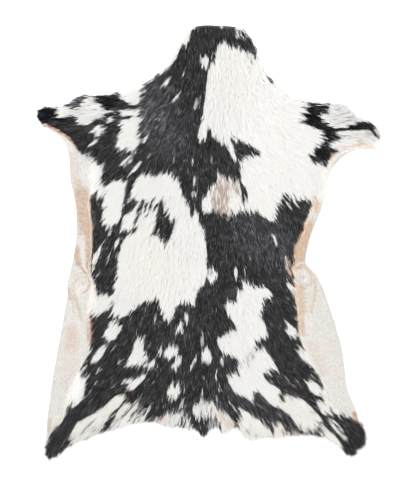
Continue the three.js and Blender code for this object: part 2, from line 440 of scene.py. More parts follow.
tones = {  # the hair's colours, as on a paint chart, 0 to 255; the black is lifted by a painted sheen
    # painted sheen: the black is lighter than the hair's own, as the black hair's material has little gloss
    "black": (51, 51, 52),
    "white": (241, 240, 237),
    "cream": (243, 241, 235),
    "taupe": (190, 172, 162),
    "pale": (241, 238, 232),
    "tan": (216, 188, 164),
    "pink": (236, 216, 206),
    "grey": (196, 192, 192),
}
toneNames = list(tones)
black = toneNames.index("black")
dyes = {  # colours that only tint it
    **tones,
    "ginger": (208, 164, 128),
    "peach": (226, 196, 166),
    "brown": (118, 92, 78),
    # slate lifts the black hair as a painted sheen, and on the pale down it darkens the whorls' middles
    "slate": (92, 91, 95),
    "ink": (16, 16, 18),
    "maroon": (60, 45, 47),
}

# Patches in the order they are laid on the black ground: tone, share of the hairs, edge
patches = {
    "right hip hairs": ("grey", 0.05, [
        (0, -230), (60, -230), (240, -300), (300, -360), (330, -400), (290, -445), (200, -400),
        (60, -400), (0, -400),
    ]),
    "left side hairs": ("grey", 0.025, [
        (-150, 230), (-30, 200), (-30, -100), (-30, -380), (-240, -360), (-240, 60), (-200, 180),
    ]),
    "neck edge upper": ("white", 1, [
        (-27, 450), (-34, 433), (-38, 420), (-41, 410), (-48, 400), (-60, 396), (-68, 398), (-75, 412),
        (-55, 445),
    ]),
    "neck edge lower": ("white", 1, [
        (-60, 392), (-62, 385), (-66, 377), (-71, 369), (-77, 361), (-83, 355), (-91, 349), (-100, 345),
        (-112, 352), (-95, 375), (-75, 398),
    ]),
    "neck spot": ("white", 1, [
        (-17, 379), (-8, 381), (0, 380), (1, 372), (-1, 362), (-4, 355), (-11, 357), (-16, 364),
        (-19, 371),
    ]),
    "neck crown": ("white", 0.65, [
        (56, 446), (56, 421), (64, 423), (72, 420), (80, 418), (88, 420), (92, 416), (102, 420),
        (95, 440), (75, 452),
    ]),
    "left shoulder edge": ("white", 1, [
        (-188, 308), (-184, 300), (-180, 294), (-174, 287), (-165, 282), (-148, 282), (-141, 286),
        (-139, 297), (-135, 306), (-133, 316), (-137, 322), (-140, 328), (-165, 324),
    ]),
    "left shoulder bar": ("white", 1, [
        (-188, 269), (-180, 273), (-165, 273), (-152, 274), (-145, 272), (-144, 262), (-147, 256),
        (-156, 257), (-161, 259), (-170, 259), (-181, 257), (-186, 264),
    ]),
    "left shoulder": ("white", 1, [
        (-180, 252), (-166, 254), (-157, 258), (-145, 259), (-135, 254), (-138, 248), (-144, 238),
        (-145, 226), (-146, 216), (-143, 204), (-148, 194), (-155, 188), (-166, 183), (-178, 187),
        (-190, 192), (-190, 200), (-188, 212), (-184, 231), (-183, 244),
    ]),
    "left foreleg": ("white", 0.93, [
        (-262, 306), (-250, 303), (-238, 297), (-235, 290), (-226, 284), (-220, 278), (-212, 271),
        (-214, 261), (-220, 255), (-227, 254), (-235, 249), (-243, 243), (-252, 239), (-267, 241),
        (-274, 247), (-281, 257), (-300, 255), (-316, 255), (-312, 262), (-314, 270), (-302, 281),
        (-289, 293), (-280, 303),
    ]),
    "left foreleg grey": ("black", 0.55, [
        (-299, 280), (-285, 291), (-268, 305), (-254, 306), (-254, 292), (-264, 282), (-272, 271),
        (-285, 276),
    ]),
    "left foreleg speck": ("white", 1, [
        (-218, 250), (-212, 256), (-203, 257), (-201, 249), (-206, 244), (-215, 245),
    ]),
    "left elbow spot": ("white", 1, [
        (-241, 228), (-236, 237), (-227, 242), (-218, 240), (-216, 231), (-221, 221), (-231, 216),
        (-239, 221),
    ]),
    "left armpit and side": ("white", 1, [
        (-256, 186), (-238, 174), (-221, 156), (-216, 144), (-222, 134), (-226, 127), (-221, 122),
        (-215, 117), (-208, 119), (-195, 126), (-183, 127), (-173, 124), (-170, 112), (-171, 97),
        (-175, 83), (-178, 66), (-180, 52), (-187, 38), (-200, 31), (-208, 27), (-218, 32), (-220, 42),
        (-219, 56), (-221, 75), (-221, 86), (-222, 92), (-236, 93), (-244, 92), (-256, 95), (-275, 110),
        (-285, 150), (-280, 180),
    ]),
    "saddle": ("white", 1, [
        (-162, 100), (-159, 110), (-150, 129), (-143, 137), (-121, 140), (-113, 135), (-100, 139),
        (-81, 141), (-72, 133), (-62, 125), (-58, 116), (-54, 110), (-53, 94), (-47, 86), (-40, 74),
        (-34, 48), (-29, 66), (-20, 50), (-16, 36), (-10, 22), (-7, 4), (-3, -14), (-2, -28), (-4, -46),
        (-1, -61), (-5, -78), (-15, -95), (-23, -109), (-27, -127), (-33, -137), (-41, -127),
        (-53, -129), (-64, -130), (-68, -142), (-74, -157), (-81, -170), (-87, -161), (-93, -165),
        (-96, -148), (-103, -131), (-103, -120), (-112, -121), (-121, -125), (-133, -126), (-150, -139),
        (-165, -152), (-177, -158), (-191, -157), (-199, -150), (-200, -140), (-192, -122), (-196, -99),
        (-191, -73), (-189, -44), (-183, -17), (-177, 1), (-168, 12), (-158, 14), (-147, 28),
        (-156, 26), (-167, 19), (-178, 27), (-181, 39), (-173, 56), (-158, 66), (-148, 79), (-154, 85),
        (-160, 84), (-165, 90),
    ]),
    "saddle notch": ("black", 1, [
        (-104, 80), (-98, 83), (-94, 74), (-87, 62), (-80, 50), (-73, 44), (-72, 34), (-76, 20),
        (-80, 8), (-85, 0), (-93, 3), (-100, 9), (-106, 18), (-114, 18), (-112, 28), (-107, 44),
        (-106, 62),
    ]),
    "saddle notch spot": ("grey", 0.5, [(-77, 5), (-71, 5), (-71, -6), (-77, -6)]),
    "left loin": ("white", 1, [
        (-242, -72), (-236, -78), (-232, -90), (-229, -102), (-230, -112), (-226, -106), (-217, -108),
        (-208, -106), (-200, -110), (-196, -104), (-190, -112), (-192, -124), (-198, -132),
        (-203, -139), (-212, -143), (-219, -148), (-227, -155), (-231, -158), (-232, -152),
        (-238, -148), (-246, -146), (-250, -110),
    ]),
    "left loin lower": ("white", 1, [
        (-206, -166), (-199, -163), (-192, -166), (-184, -169), (-179, -175), (-180, -182),
        (-184, -190), (-190, -199), (-198, -204), (-206, -202), (-214, -198), (-220, -198),
        (-218, -191), (-212, -181), (-208, -173),
    ]),
    "left hip edge": ("white", 1, [
        (-221, -214), (-215, -217), (-212, -224), (-216, -233), (-223, -241), (-232, -250),
        (-243, -252), (-241, -243), (-236, -233), (-230, -223),
    ]),
    "left hip": ("white", 1, [
        (-150, -200), (-140, -197), (-132, -200), (-132, -208), (-132, -220), (-127, -232),
        (-125, -243), (-125, -248), (-134, -251), (-142, -255), (-152, -258), (-167, -257),
        (-171, -251), (-168, -243), (-161, -232), (-157, -224), (-155, -211),
    ]),
    "left hip tail": ("white", 1, [
        (-133, -252), (-122, -249), (-113, -245), (-110, -250), (-112, -259), (-118, -263),
        (-127, -269), (-129, -262), (-134, -258),
    ]),
    "left thigh": ("white", 1, [
        (-175, -284), (-168, -279), (-158, -279), (-146, -280), (-136, -272), (-129, -273),
        (-130, -280), (-138, -290), (-148, -300), (-160, -306), (-167, -304), (-168, -298),
        (-167, -289),
    ]),
    "left thigh lobe": ("white", 1, [
        (-250, -278), (-252, -290), (-256, -312), (-259, -322), (-264, -331), (-270, -337),
        (-277, -343), (-281, -346), (-286, -344), (-290, -338), (-289, -322), (-284, -300),
        (-276, -280), (-264, -264), (-256, -266),
    ]),
    "rump left": ("white", 1, [
        (-91, -224), (-86, -218), (-75, -213), (-67, -215), (-62, -220), (-63, -230), (-70, -239),
        (-82, -241), (-90, -237), (-92, -230),
    ]),
    "rump left middle": ("white", 1, [
        (-66, -237), (-60, -234), (-55, -238), (-55, -245), (-59, -255), (-64, -258), (-64, -265),
        (-67, -270), (-72, -264), (-77, -259), (-76, -253), (-70, -247),
    ]),
    "rump left lower": ("white", 1, [
        (-86, -304), (-84, -299), (-74, -296), (-67, -298), (-62, -289), (-58, -297), (-56, -308),
        (-60, -317), (-68, -323), (-75, -326), (-81, -318), (-86, -313),
    ]),
    "rump fleck": ("white", 1, [
        (-38, -252), (-33, -248), (-29, -240), (-24, -233), (-24, -242), (-30, -252), (-33, -262),
        (-36, -265), (-38, -259),
    ]),
    "rump triangle": ("white", 1, [
        (-57, -161), (-61, -168), (-66, -177), (-67, -186), (-61, -190), (-53, -187), (-50, -187),
        (-52, -178), (-54, -169),
    ]),
    "rump middle": ("white", 1, [
        (-11, -226), (-7, -219), (-2, -217), (3, -221), (6, -231), (8, -244), (2, -250), (-6, -251),
        (-15, -247), (-15, -237),
    ]),
    "saddle tail": ("white", 1, [
        (-50, -148), (-47, -145), (-44, -151), (-40, -157), (-41, -164), (-46, -166), (-50, -158),
    ]),
    "tail root": ("white", 0.93, [
        (-34, -348), (-33, -340), (-28, -334), (-20, -333), (-17, -319), (-13, -326), (-4, -329),
        (6, -329), (14, -336), (22, -345), (30, -352), (24, -366), (12, -364), (0, -362), (-8, -366),
        (-18, -372), (-26, -366), (-32, -357),
    ]),
    "left hind upper": ("cream", 0.95, [
        (-233, -351), (-222, -345), (-215, -339), (-209, -332), (-203, -326), (-196, -320),
        (-188, -316), (-180, -314), (-172, -316), (-170, -322), (-172, -330), (-179, -339),
        (-187, -349), (-195, -356), (-203, -358), (-212, -371), (-226, -372),
    ]),
    "left hind lower": ("cream", 0.95, [
        (-282, -392), (-277, -380), (-270, -372), (-262, -366), (-250, -359), (-240, -355),
        (-230, -352), (-218, -352), (-206, -360), (-214, -376), (-216, -392), (-234, -404),
        (-255, -415), (-284, -418), (-286, -404),
    ]),
    "left hind middle": ("cream", 0.95, [
        (-203, -378), (-196, -366), (-191, -354), (-184, -344), (-173, -335), (-160, -333),
        (-152, -329), (-143, -331), (-144, -340), (-150, -350), (-153, -358), (-160, -366),
        (-172, -374), (-188, -390), (-206, -392),
    ]),
    "left hind grey": ("white", 0.6, [
        (-146, -337), (-136, -340), (-131, -352), (-142, -369), (-162, -375), (-155, -358),
    ]),
    "left hind fringe": ("white", 0.9, [
        (-139, -356), (-131, -348), (-124, -341), (-117, -339), (-121, -349), (-126, -356),
        (-132, -364), (-142, -366),
    ]),
    "tail edge left": ("white", 0.85, [
        (-190, -380), (-160, -367), (-140, -364), (-122, -363), (-108, -364), (-100, -363), (-94, -361),
        (-88, -372), (-88, -390), (-130, -386), (-190, -398),
    ]),
    "tail left": ("white", 0.88, [
        (-98, -370), (-93, -360), (-87, -353), (-81, -350), (-75, -351), (-66, -353), (-56, -350),
        (-50, -353), (-52, -361), (-55, -368), (-59, -378), (-66, -390), (-100, -390),
    ]),
    "tail streaks": ("white", 0.6, [
        (-58, -366), (-48, -356), (-40, -360), (-34, -374), (-26, -392), (-60, -392),
    ]),
    "tail streaks right": ("grey", 0.6, [(-2, -366), (10, -366), (22, -370), (22, -392), (2, -392)]),
    "right shoulder": ("white", 1, [
        (14, 392), (20, 404), (27, 410), (40, 406), (48, 406), (60, 400), (69, 394), (81, 390),
        (97, 385), (112, 394), (150, 345), (208, 302), (250, 292), (285, 288), (310, 264), (335, 252),
        (362, 238), (362, 188), (300, 180), (262, 150), (262, 91), (228, 89), (213, 83), (200, 90),
        (186, 88), (168, 92), (156, 89), (151, 80), (151, 72), (144, 61), (142, 53), (136, 43),
        (129, 41), (119, 45), (110, 53), (100, 58), (87, 62), (76, 65), (73, 76), (78, 92), (77, 108),
        (69, 121), (66, 137), (65, 150), (71, 165), (81, 175), (90, 178), (98, 182), (110, 184),
        (98, 190), (88, 199), (75, 203), (64, 206), (57, 204), (48, 214), (42, 209), (34, 205),
        (22, 206), (10, 209), (5, 220), (1, 232), (-8, 254), (-12, 268), (-10, 285), (-7, 306),
        (-5, 325), (-2, 350), (2, 362), (8, 372),
    ]),
    "withers": ("white", 1, [
        (-13, 262), (-16, 242), (-22, 230), (-24, 216), (-22, 208), (-12, 207), (-5, 210), (-3, 219),
        (-1, 234), (-2, 250), (-6, 258),
    ]),
    "shoulder tongue": ("white", 1, [
        (32, 206), (44, 212), (50, 200), (54, 186), (59, 170), (56, 165), (50, 170), (45, 181),
        (40, 190), (35, 197),
    ]),
    "taupe patch": ("white", 1, [
        (20, 146), (26, 144), (31, 138), (38, 131), (48, 130), (54, 128), (60, 125), (65, 121),
        (67, 112), (69, 100), (70, 86), (64, 74), (62, 65), (50, 57), (42, 51), (34, 52), (25, 56),
        (17, 59), (10, 61), (6, 70), (6, 90), (3, 106), (10, 115), (17, 125), (18, 138),
    ]),
    "taupe edge": ("white", 1, [
        (-11, 95), (-14, 89), (-15, 82), (-14, 70), (-11, 60), (-5, 58), (6, 55), (12, 60), (12, 84),
        (8, 98), (2, 106), (-2, 102),
    ]),
    "taupe patch hairs": ("taupe", 0.6, [
        (20, 146), (26, 144), (31, 138), (38, 131), (48, 130), (54, 128), (60, 125), (65, 121),
        (67, 112), (69, 100), (70, 86), (64, 74), (62, 65), (50, 57), (42, 51), (34, 52), (25, 56),
        (17, 59), (10, 61), (6, 70), (6, 90), (3, 106), (10, 115), (17, 125), (18, 138),
    ]),
    "taupe foot": ("white", 0.8, [(46, 84), (58, 92), (72, 80), (75, 63), (67, 61), (57, 56), (50, 60)]),
    "right foreleg streaks": ("grey", 0.18, [
        (240, 292), (285, 290), (312, 266), (340, 252), (364, 238), (362, 214), (330, 206), (268, 206),
        (252, 222), (236, 250),
    ]),
    "right elbow block": ("black", 1, [
        (207, 287), (218, 285), (230, 284), (241, 284), (252, 284), (247, 275), (240, 267), (236, 262),
        (231, 257), (234, 250), (238, 245), (246, 243), (251, 237), (256, 232), (250, 226), (243, 222),
        (236, 226), (238, 230), (228, 232), (217, 237), (206, 241), (195, 245), (187, 247), (196, 251),
        (201, 256), (200, 263), (204, 268), (203, 275), (204, 282),
    ]),
    "right foreleg bar": ("black", 1, [
        (246, 238), (256, 233), (270, 233), (284, 234), (296, 238), (302, 243), (312, 246), (322, 247),
        (330, 246), (337, 241), (343, 233), (348, 224), (351, 216), (346, 215), (341, 219), (336, 226),
        (330, 231), (320, 232), (306, 230), (292, 231), (276, 229), (262, 226), (248, 226),
    ]),
    "right armpit bar": ("black", 1, [
        (244, 228), (262, 228), (261, 220), (269, 217), (261, 213), (260, 208), (253, 203), (252, 197),
        (257, 190), (264, 189), (256, 183), (250, 175), (243, 166), (236, 160), (226, 160), (217, 162),
        (210, 170), (212, 177), (219, 182), (226, 190), (230, 198), (236, 208), (243, 216),
    ]),
    "loin spot": ("white", 1, [
        (-2, -60), (6, -55), (13, -57), (18, -63), (20, -72), (16, -82), (9, -85), (2, -80), (-3, -73),
    ]),
    "right loin": ("white", 1, [
        (68, -74), (72, -80), (75, -84), (82, -87), (88, -91), (94, -94), (101, -97), (103, -90),
        (108, -90), (113, -87), (119, -93), (125, -99), (130, -105), (133, -112), (132, -118),
        (132, -121), (125, -120), (119, -118), (114, -122), (117, -130), (114, -133), (113, -139),
        (114, -145), (109, -148), (111, -155), (113, -163), (120, -175), (122, -186), (120, -193),
        (114, -199), (107, -205), (99, -210), (100, -218), (90, -228), (75, -240), (62, -246),
        (58, -242), (50, -239), (37, -234), (31, -229), (25, -224), (18, -210), (16, -204), (18, -196),
        (22, -196), (28, -195), (36, -191), (46, -183), (55, -178), (52, -167), (47, -163), (42, -156),
        (38, -148), (35, -140), (34, -134), (37, -126), (39, -121), (44, -118), (48, -123), (51, -124),
        (57, -118), (56, -112), (57, -106), (63, -102), (66, -98), (70, -92),
    ]),
    "right hip": ("white", 1, [
        (82, -228), (92, -225), (104, -223), (112, -222), (118, -224), (123, -229), (128, -235),
        (133, -243), (138, -252), (142, -259), (144, -264), (137, -263), (131, -266), (126, -268),
        (120, -272), (115, -277), (118, -282), (122, -287), (127, -293), (136, -296), (142, -301),
        (149, -307), (151, -314), (152, -330), (150, -342), (139, -342), (131, -337), (123, -331),
        (115, -325), (109, -317), (103, -309), (98, -312), (93, -318), (94, -328), (93, -336),
        (85, -329), (77, -323), (69, -321), (63, -317), (55, -312), (50, -306), (46, -299), (42, -291),
        (39, -283), (39, -277), (47, -272), (54, -272), (63, -270), (60, -262), (60, -255), (61, -247),
        (66, -242),
    ]),
    "right hip streaks": ("grey", 0.4, [
        (60, -243), (72, -236), (88, -222), (96, -212), (96, -226), (84, -246), (80, -268), (70, -270),
        (66, -256),
    ]),
    "right thigh": ("cream", 0.97, [
        (139, -336), (152, -322), (160, -319), (170, -318), (180, -318), (193, -324), (205, -333),
        (214, -341), (222, -350), (229, -360), (234, -371), (232, -378), (222, -386), (212, -394),
        (200, -396), (190, -389), (183, -381), (177, -371), (169, -361), (161, -353), (151, -345),
    ]),
    "right flank fleck": ("white", 1, [
        (158, -161), (167, -167), (176, -175), (185, -184), (184, -192), (174, -199), (165, -194),
        (159, -184), (159, -170),
    ]),
    "right waist fleck": ("white", 1, [
        (161, -82), (166, -83), (174, -90), (182, -97), (181, -106), (173, -105), (165, -97),
        (160, -90),
    ]),
    "right hip edge": ("white", 1, [
        (181, -219), (189, -216), (198, -223), (207, -233), (214, -245), (214, -252), (203, -251),
        (193, -243), (185, -232),
    ]),
    "right thigh edge": ("white", 1, [
        (203, -288), (213, -284), (222, -288), (231, -299), (235, -310), (232, -319), (224, -317),
        (211, -310), (205, -300),
    ]),
    "right thigh lower": ("white", 1, [
        (219, -330), (222, -334), (230, -350), (240, -358), (250, -357), (258, -349), (268, -354),
        (280, -358), (268, -338), (250, -322), (238, -308), (236, -322), (226, -330),
    ]),
    "right foot": ("black", 1, [
        (262, -354), (270, -359), (279, -362), (288, -364), (298, -364), (307, -372), (318, -384),
        (326, -398), (323, -409), (314, -418), (305, -430), (296, -441), (284, -441), (281, -428),
        (286, -418), (290, -408), (287, -399), (279, -389), (270, -376), (261, -368), (254, -358),
    ]),
    "right foot streak": ("white", 0.9, [
        (248, -364), (254, -362), (261, -369), (270, -376), (279, -389), (285, -400), (284, -410),
        (282, -411), (272, -403), (261, -392), (252, -379),
    ]),
    "right hind lower": ("cream", 0.95, [
        (236, -378), (246, -386), (258, -396), (268, -408), (276, -424), (283, -438), (262, -436),
        (236, -414), (226, -400),
    ]),
    "tail right": ("cream", 0.97, [
        (62, -343), (69, -345), (78, -349), (94, -359), (107, -371), (121, -382), (131, -393),
        (140, -412), (84, -425), (52, -404), (56, -386), (64, -372), (70, -362),
    ]),
    "tail right spot": ("cream", 1, [
        (138, -379), (148, -374), (156, -382), (158, -394), (152, -412), (132, -410), (134, -394),
    ]),
    "tail right fringe": ("grey", 0.5, [
        (150, -394), (176, -388), (204, -392), (230, -396), (240, -412), (150, -416),
    ]),
    "tail pink": ("white", 0.95, [
        (20, -345), (28, -347), (36, -352), (46, -362), (54, -373), (52, -384), (44, -396), (34, -412),
        (26, -408), (26, -386), (23, -366),
    ]),
    "waist tan": ("tan", 0.5, [
        (157, -32), (162, -30), (170, -42), (175, -58), (168, -66), (160, -60), (156, -46),
    ]),
    "waist fleck": ("white", 1, [
        (-223, -10), (-221, -16), (-226, -32), (-232, -48), (-239, -62), (-241, -50), (-240, -36),
        (-234, -24), (-228, -14),
    ]),
    "hind edge tips": ("white", 0.75, [
        (148, -396), (160, -390), (172, -393), (184, -391), (198, -397), (203, -412), (150, -412),
    ]),
}

# Narrow flecks and streaks: tone, share, width, points from one end to the other
flecks = {
    "neck light streak": ("white", 1, 4, [(8, 392), (8, 368)]),
    "neck faint streak": ("grey", 0.4, 4, [(8, 402), (9, 424)]),
    "neck dark streak": ("black", 1, 4, [(16, 398), (12, 384), (10, 372)]),
    "neck crown streak": ("white", 0.8, 5, [(22, 435), (27, 443)]),
    "neck drip": ("black", 0.4, 3, [(88, 390), (87, 370)]),
    "neck speckle": ("white", 0.4, 3, [(33, 412), (36, 428)]),
    "neck side lower": ("white", 1, 8, [(-95, 321), (-80, 335)]),
    "neck side": ("white", 0.8, 5, [(-55, 341), (-49, 351)]),
    "shoulder drop": ("white", 1, 7.5, [(-77, 284), (-61, 304)]),
    "shoulder speck": ("white", 0.4, 4, [(-70, 264), (-67, 270)]),
    "shoulder speck lower": ("white", 0.3, 4, [(-45, 213), (-42, 222)]),
    "withers pale": ("grey", 0.75, 9, [(-28, 272), (-23, 298)]),
    "withers pale right": ("grey", 0.6, 5, [(-19, 274), (-17, 300)]),
    "spine fleck": ("white", 1, 5, [(-34, 156), (-32, 173)]),
    "spine fleck right": ("white", 0.8, 4, [(5, 163), (9, 182)]),
    "spine fleck middle": ("white", 1, 6, [(-31, 116), (-27, 130)]),
    "spine fleck lower": ("white", 0.9, 5, [(-33, 90), (-32, 110)]),
    "spine fleck low right": ("white", 0.7, 6, [(-27, 84), (-26, 104)]),
    "shoulder edge nick": ("black", 1, 6, [(126, 337), (132, 329)]),
    "shoulder edge notch": ("black", 1, 3, [(-139, 323), (-129, 320)]),
    "shoulder line": ("black", 1, 6, [(-192, 278), (-138, 279)]),
    "shoulder line lower": ("black", 1, 3, [(-190, 253), (-178, 254), (-161, 257)]),
    "shoulder fleck": ("white", 1, 9, [(-136, 205), (-128, 215)]),
    "side streak": ("white", 0.9, 8, [(-167, 134), (-152, 150), (-137, 168)]),
    "side streak upper": ("white", 0.9, 6, [(-130, 165), (-122, 178)]),
    "shoulder fringe": ("white", 0.5, 18, [(-176, 158), (-152, 184)]),
    "elbow fleck": ("white", 1, 9, [(-243, 201), (-232, 208)]),
    "foreleg fleck": ("white", 1, 7, [(-213, 268), (-198, 269)]),
    "foreleg tip": ("white", 0.6, 3, [(-350, 247), (-338, 243)]),
    "saddle dark one": ("black", 1, 7, [(-136, 84), (-142, 68), (-146, 52)]),
    "saddle dark two": ("black", 0.8, 5, [(-146, 54), (-154, 32)]),
    "saddle dark three": ("black", 0.8, 5, [(-124, 86), (-133, 64)]),
    "saddle dark four": ("black", 0.8, 6, [(-112, 90), (-124, 62)]),
    "saddle dark five": ("black", 0.8, 5, [(-104, 84), (-116, 58)]),
    "saddle dark six": ("black", 0.6, 4, [(-128, 70), (-138, 56)]),
    "saddle dark seven": ("black", 0.5, 3, [(-78, 84), (-86, 72)]),
    "saddle dark eight": ("black", 0.7, 4, [(-93, 92), (-98, 80)]),
    "loin line": ("black", 0.7, 3, [(-197, -116), (-201, -126), (-205, -135)]),
    "side fleck": ("white", 0.85, 7, [(-206, 12), (-200, 27)]),
    "waist drop": ("white", 1, 9, [(-194, -12), (-186, 5)]),
    "waist drop lower": ("white", 1, 7, [(-208, -38), (-204, -28)]),
    "waist drop faint": ("white", 0.3, 4, [(-214, 1), (-212, 7)]),
    "thigh streak": ("black", 0.7, 4, [(-258, -262), (-263, -280)]),
    "hip speck": ("white", 0.8, 8, [(-231, -270), (-224, -261)]),
    "hip splinter": ("white", 0.6, 5, [(-190, -252), (-180, -244)]),
    "hip hair": ("white", 0.7, 3, [(-110, -250), (-102, -257)]),
    "rump drop": ("white", 1, 8, [(-102, -239), (-98, -218)]),
    "rump splinter": ("white", 0.9, 5, [(-113, -168), (-109, -155)]),
    "rump drop middle": ("white", 1, 8, [(-14, -211), (-13, -190)]),
    "rump speck": ("white", 0.6, 4, [(-11, -284), (-9, -276)]),
    "rump speck lower": ("white", 0.7, 6, [(-13, -312), (-11, -304)]),
    "saddle tail faint": ("white", 0.4, 4, [(-38, -175), (-38, -164)]),
    "saddle tail faint lower": ("white", 0.3, 4, [(-40, -201), (-39, -190)]),
    "tail splinter": ("white", 0.8, 6, [(-61, -343), (-51, -325)]),
    "tail splinter small": ("white", 0.5, 3, [(-47, -334), (-46, -346)]),
    "tail root dark": ("black", 0.8, 9, [(-14, -366), (-14, -386)]),
    "tail root dark two": ("black", 0.7, 4, [(-3, -362), (1, -376)]),
    "thigh speck": ("white", 0.5, 5, [(-200, -301), (-192, -295)]),
    "hind dark streak": ("black", 1, 7, [(-191, -347), (-201, -362), (-209, -376), (-217, -389)]),
    "hind dark thread": ("black", 1, 3, [(-174, -328), (-183, -340), (-194, -352)]),
    "hind dark trail": ("black", 0.5, 5, [(-213, -382), (-230, -400)]),
    "hind dark line": ("black", 0.9, 2.6, [(-155, -332), (-165, -349), (-179, -362), (-194, -374)]),
    "hind dark line two": ("black", 0.9, 2.4, [(-138, -334), (-151, -349), (-163, -367)]),
    "hind dark line three": ("black", 0.9, 3, [(-126, -345), (-142, -367)]),
    "hind grey line": ("black", 0.4, 2.5, [(-232, -362), (-250, -385)]),
    "hind grey line two": ("black", 0.4, 2.5, [(-245, -372), (-262, -396)]),
    "right side fleck": ("white", 1, 6, [(139, -4), (132, 17)]),
    "loin fleck": ("white", 1, 9, [(56, -72), (57, -54)]),
    "loin speck": ("white", 0.8, 5, [(76, -67), (75, -52)]),
    "back faint": ("white", 0.35, 4, [(36, -28), (36, -36)]),
    "back speck": ("white", 0.5, 4, [(16, -135), (17, -140)]),
    "rump spot": ("white", 1, 9, [(28, -252), (28, -240)]),
    "rump streak": ("white", 0.7, 6, [(14, -282), (17, -266)]),
    "rump crumb": ("white", 0.7, 7, [(22, -300), (26, -309)]),
    "rump faint right": ("white", 0.5, 4, [(16, -226), (17, -236)]),
    "tail thin streak": ("white", 0.6, 4, [(40, -329), (58, -349)]),
    "right waist streak": ("white", 0.8, 3, [(159, -33), (163, -52)]),
    "side dark one": ("black", 1, 5, [(153, 99), (168, 66)]),
    "side white one": ("white", 1, 5, [(158, 86), (172, 66)]),
    "side white two": ("white", 1, 6, [(168, 100), (182, 76)]),
    "shoulder nick tail": ("grey", 0.4, 4, [(75, 96), (80, 84)]),
    "shoulder thin streak": ("grey", 0.45, 3, [(125, 118), (137, 105)]),
    "shoulder faint streak": ("grey", 0.25, 3, [(120, 200), (124, 190)]),
    "elbow white streak": ("white", 0.8, 4, [(231, 279), (240, 286)]),
    "elbow white streak two": ("white", 0.8, 3, [(232, 258), (240, 263)]),
    "thigh joint": ("black", 1, 4, [(146, -314), (153, -328)]),
    "thigh edge streak": ("black", 0.5, 4, [(218, -266), (230, -282)]),
    "foot dark line": ("black", 1, 4.5, [
        (236, -360), (246, -377), (262, -394), (274, -410), (284, -426),
    ]),
    "armpit white near": ("white", 0.6, 14, [(-252, 182), (-248, 150), (-245, 112)]),
    "armpit white far": ("white", 0.3, 12, [(-263, 184), (-260, 150), (-256, 116)]),
    "foot white line": ("white", 1, 3, [(270, -408), (281, -426)]),
    "foot thin line": ("black", 1, 2.5, [(258, -373), (268, -386), (277, -399)]),
    "hind tuft one": ("black", 0.9, 4, [(190, -378), (194, -397)]),
    "hind tuft two": ("black", 0.9, 3, [(199, -384), (204, -400)]),
    "hind tuft three": ("black", 0.9, 5, [(210, -384), (215, -404)]),
    "hind tuft four": ("black", 0.9, 4, [(221, -388), (229, -404)]),
    "hind tuft five": ("black", 0.9, 3, [(231, -384), (239, -402)]),
}
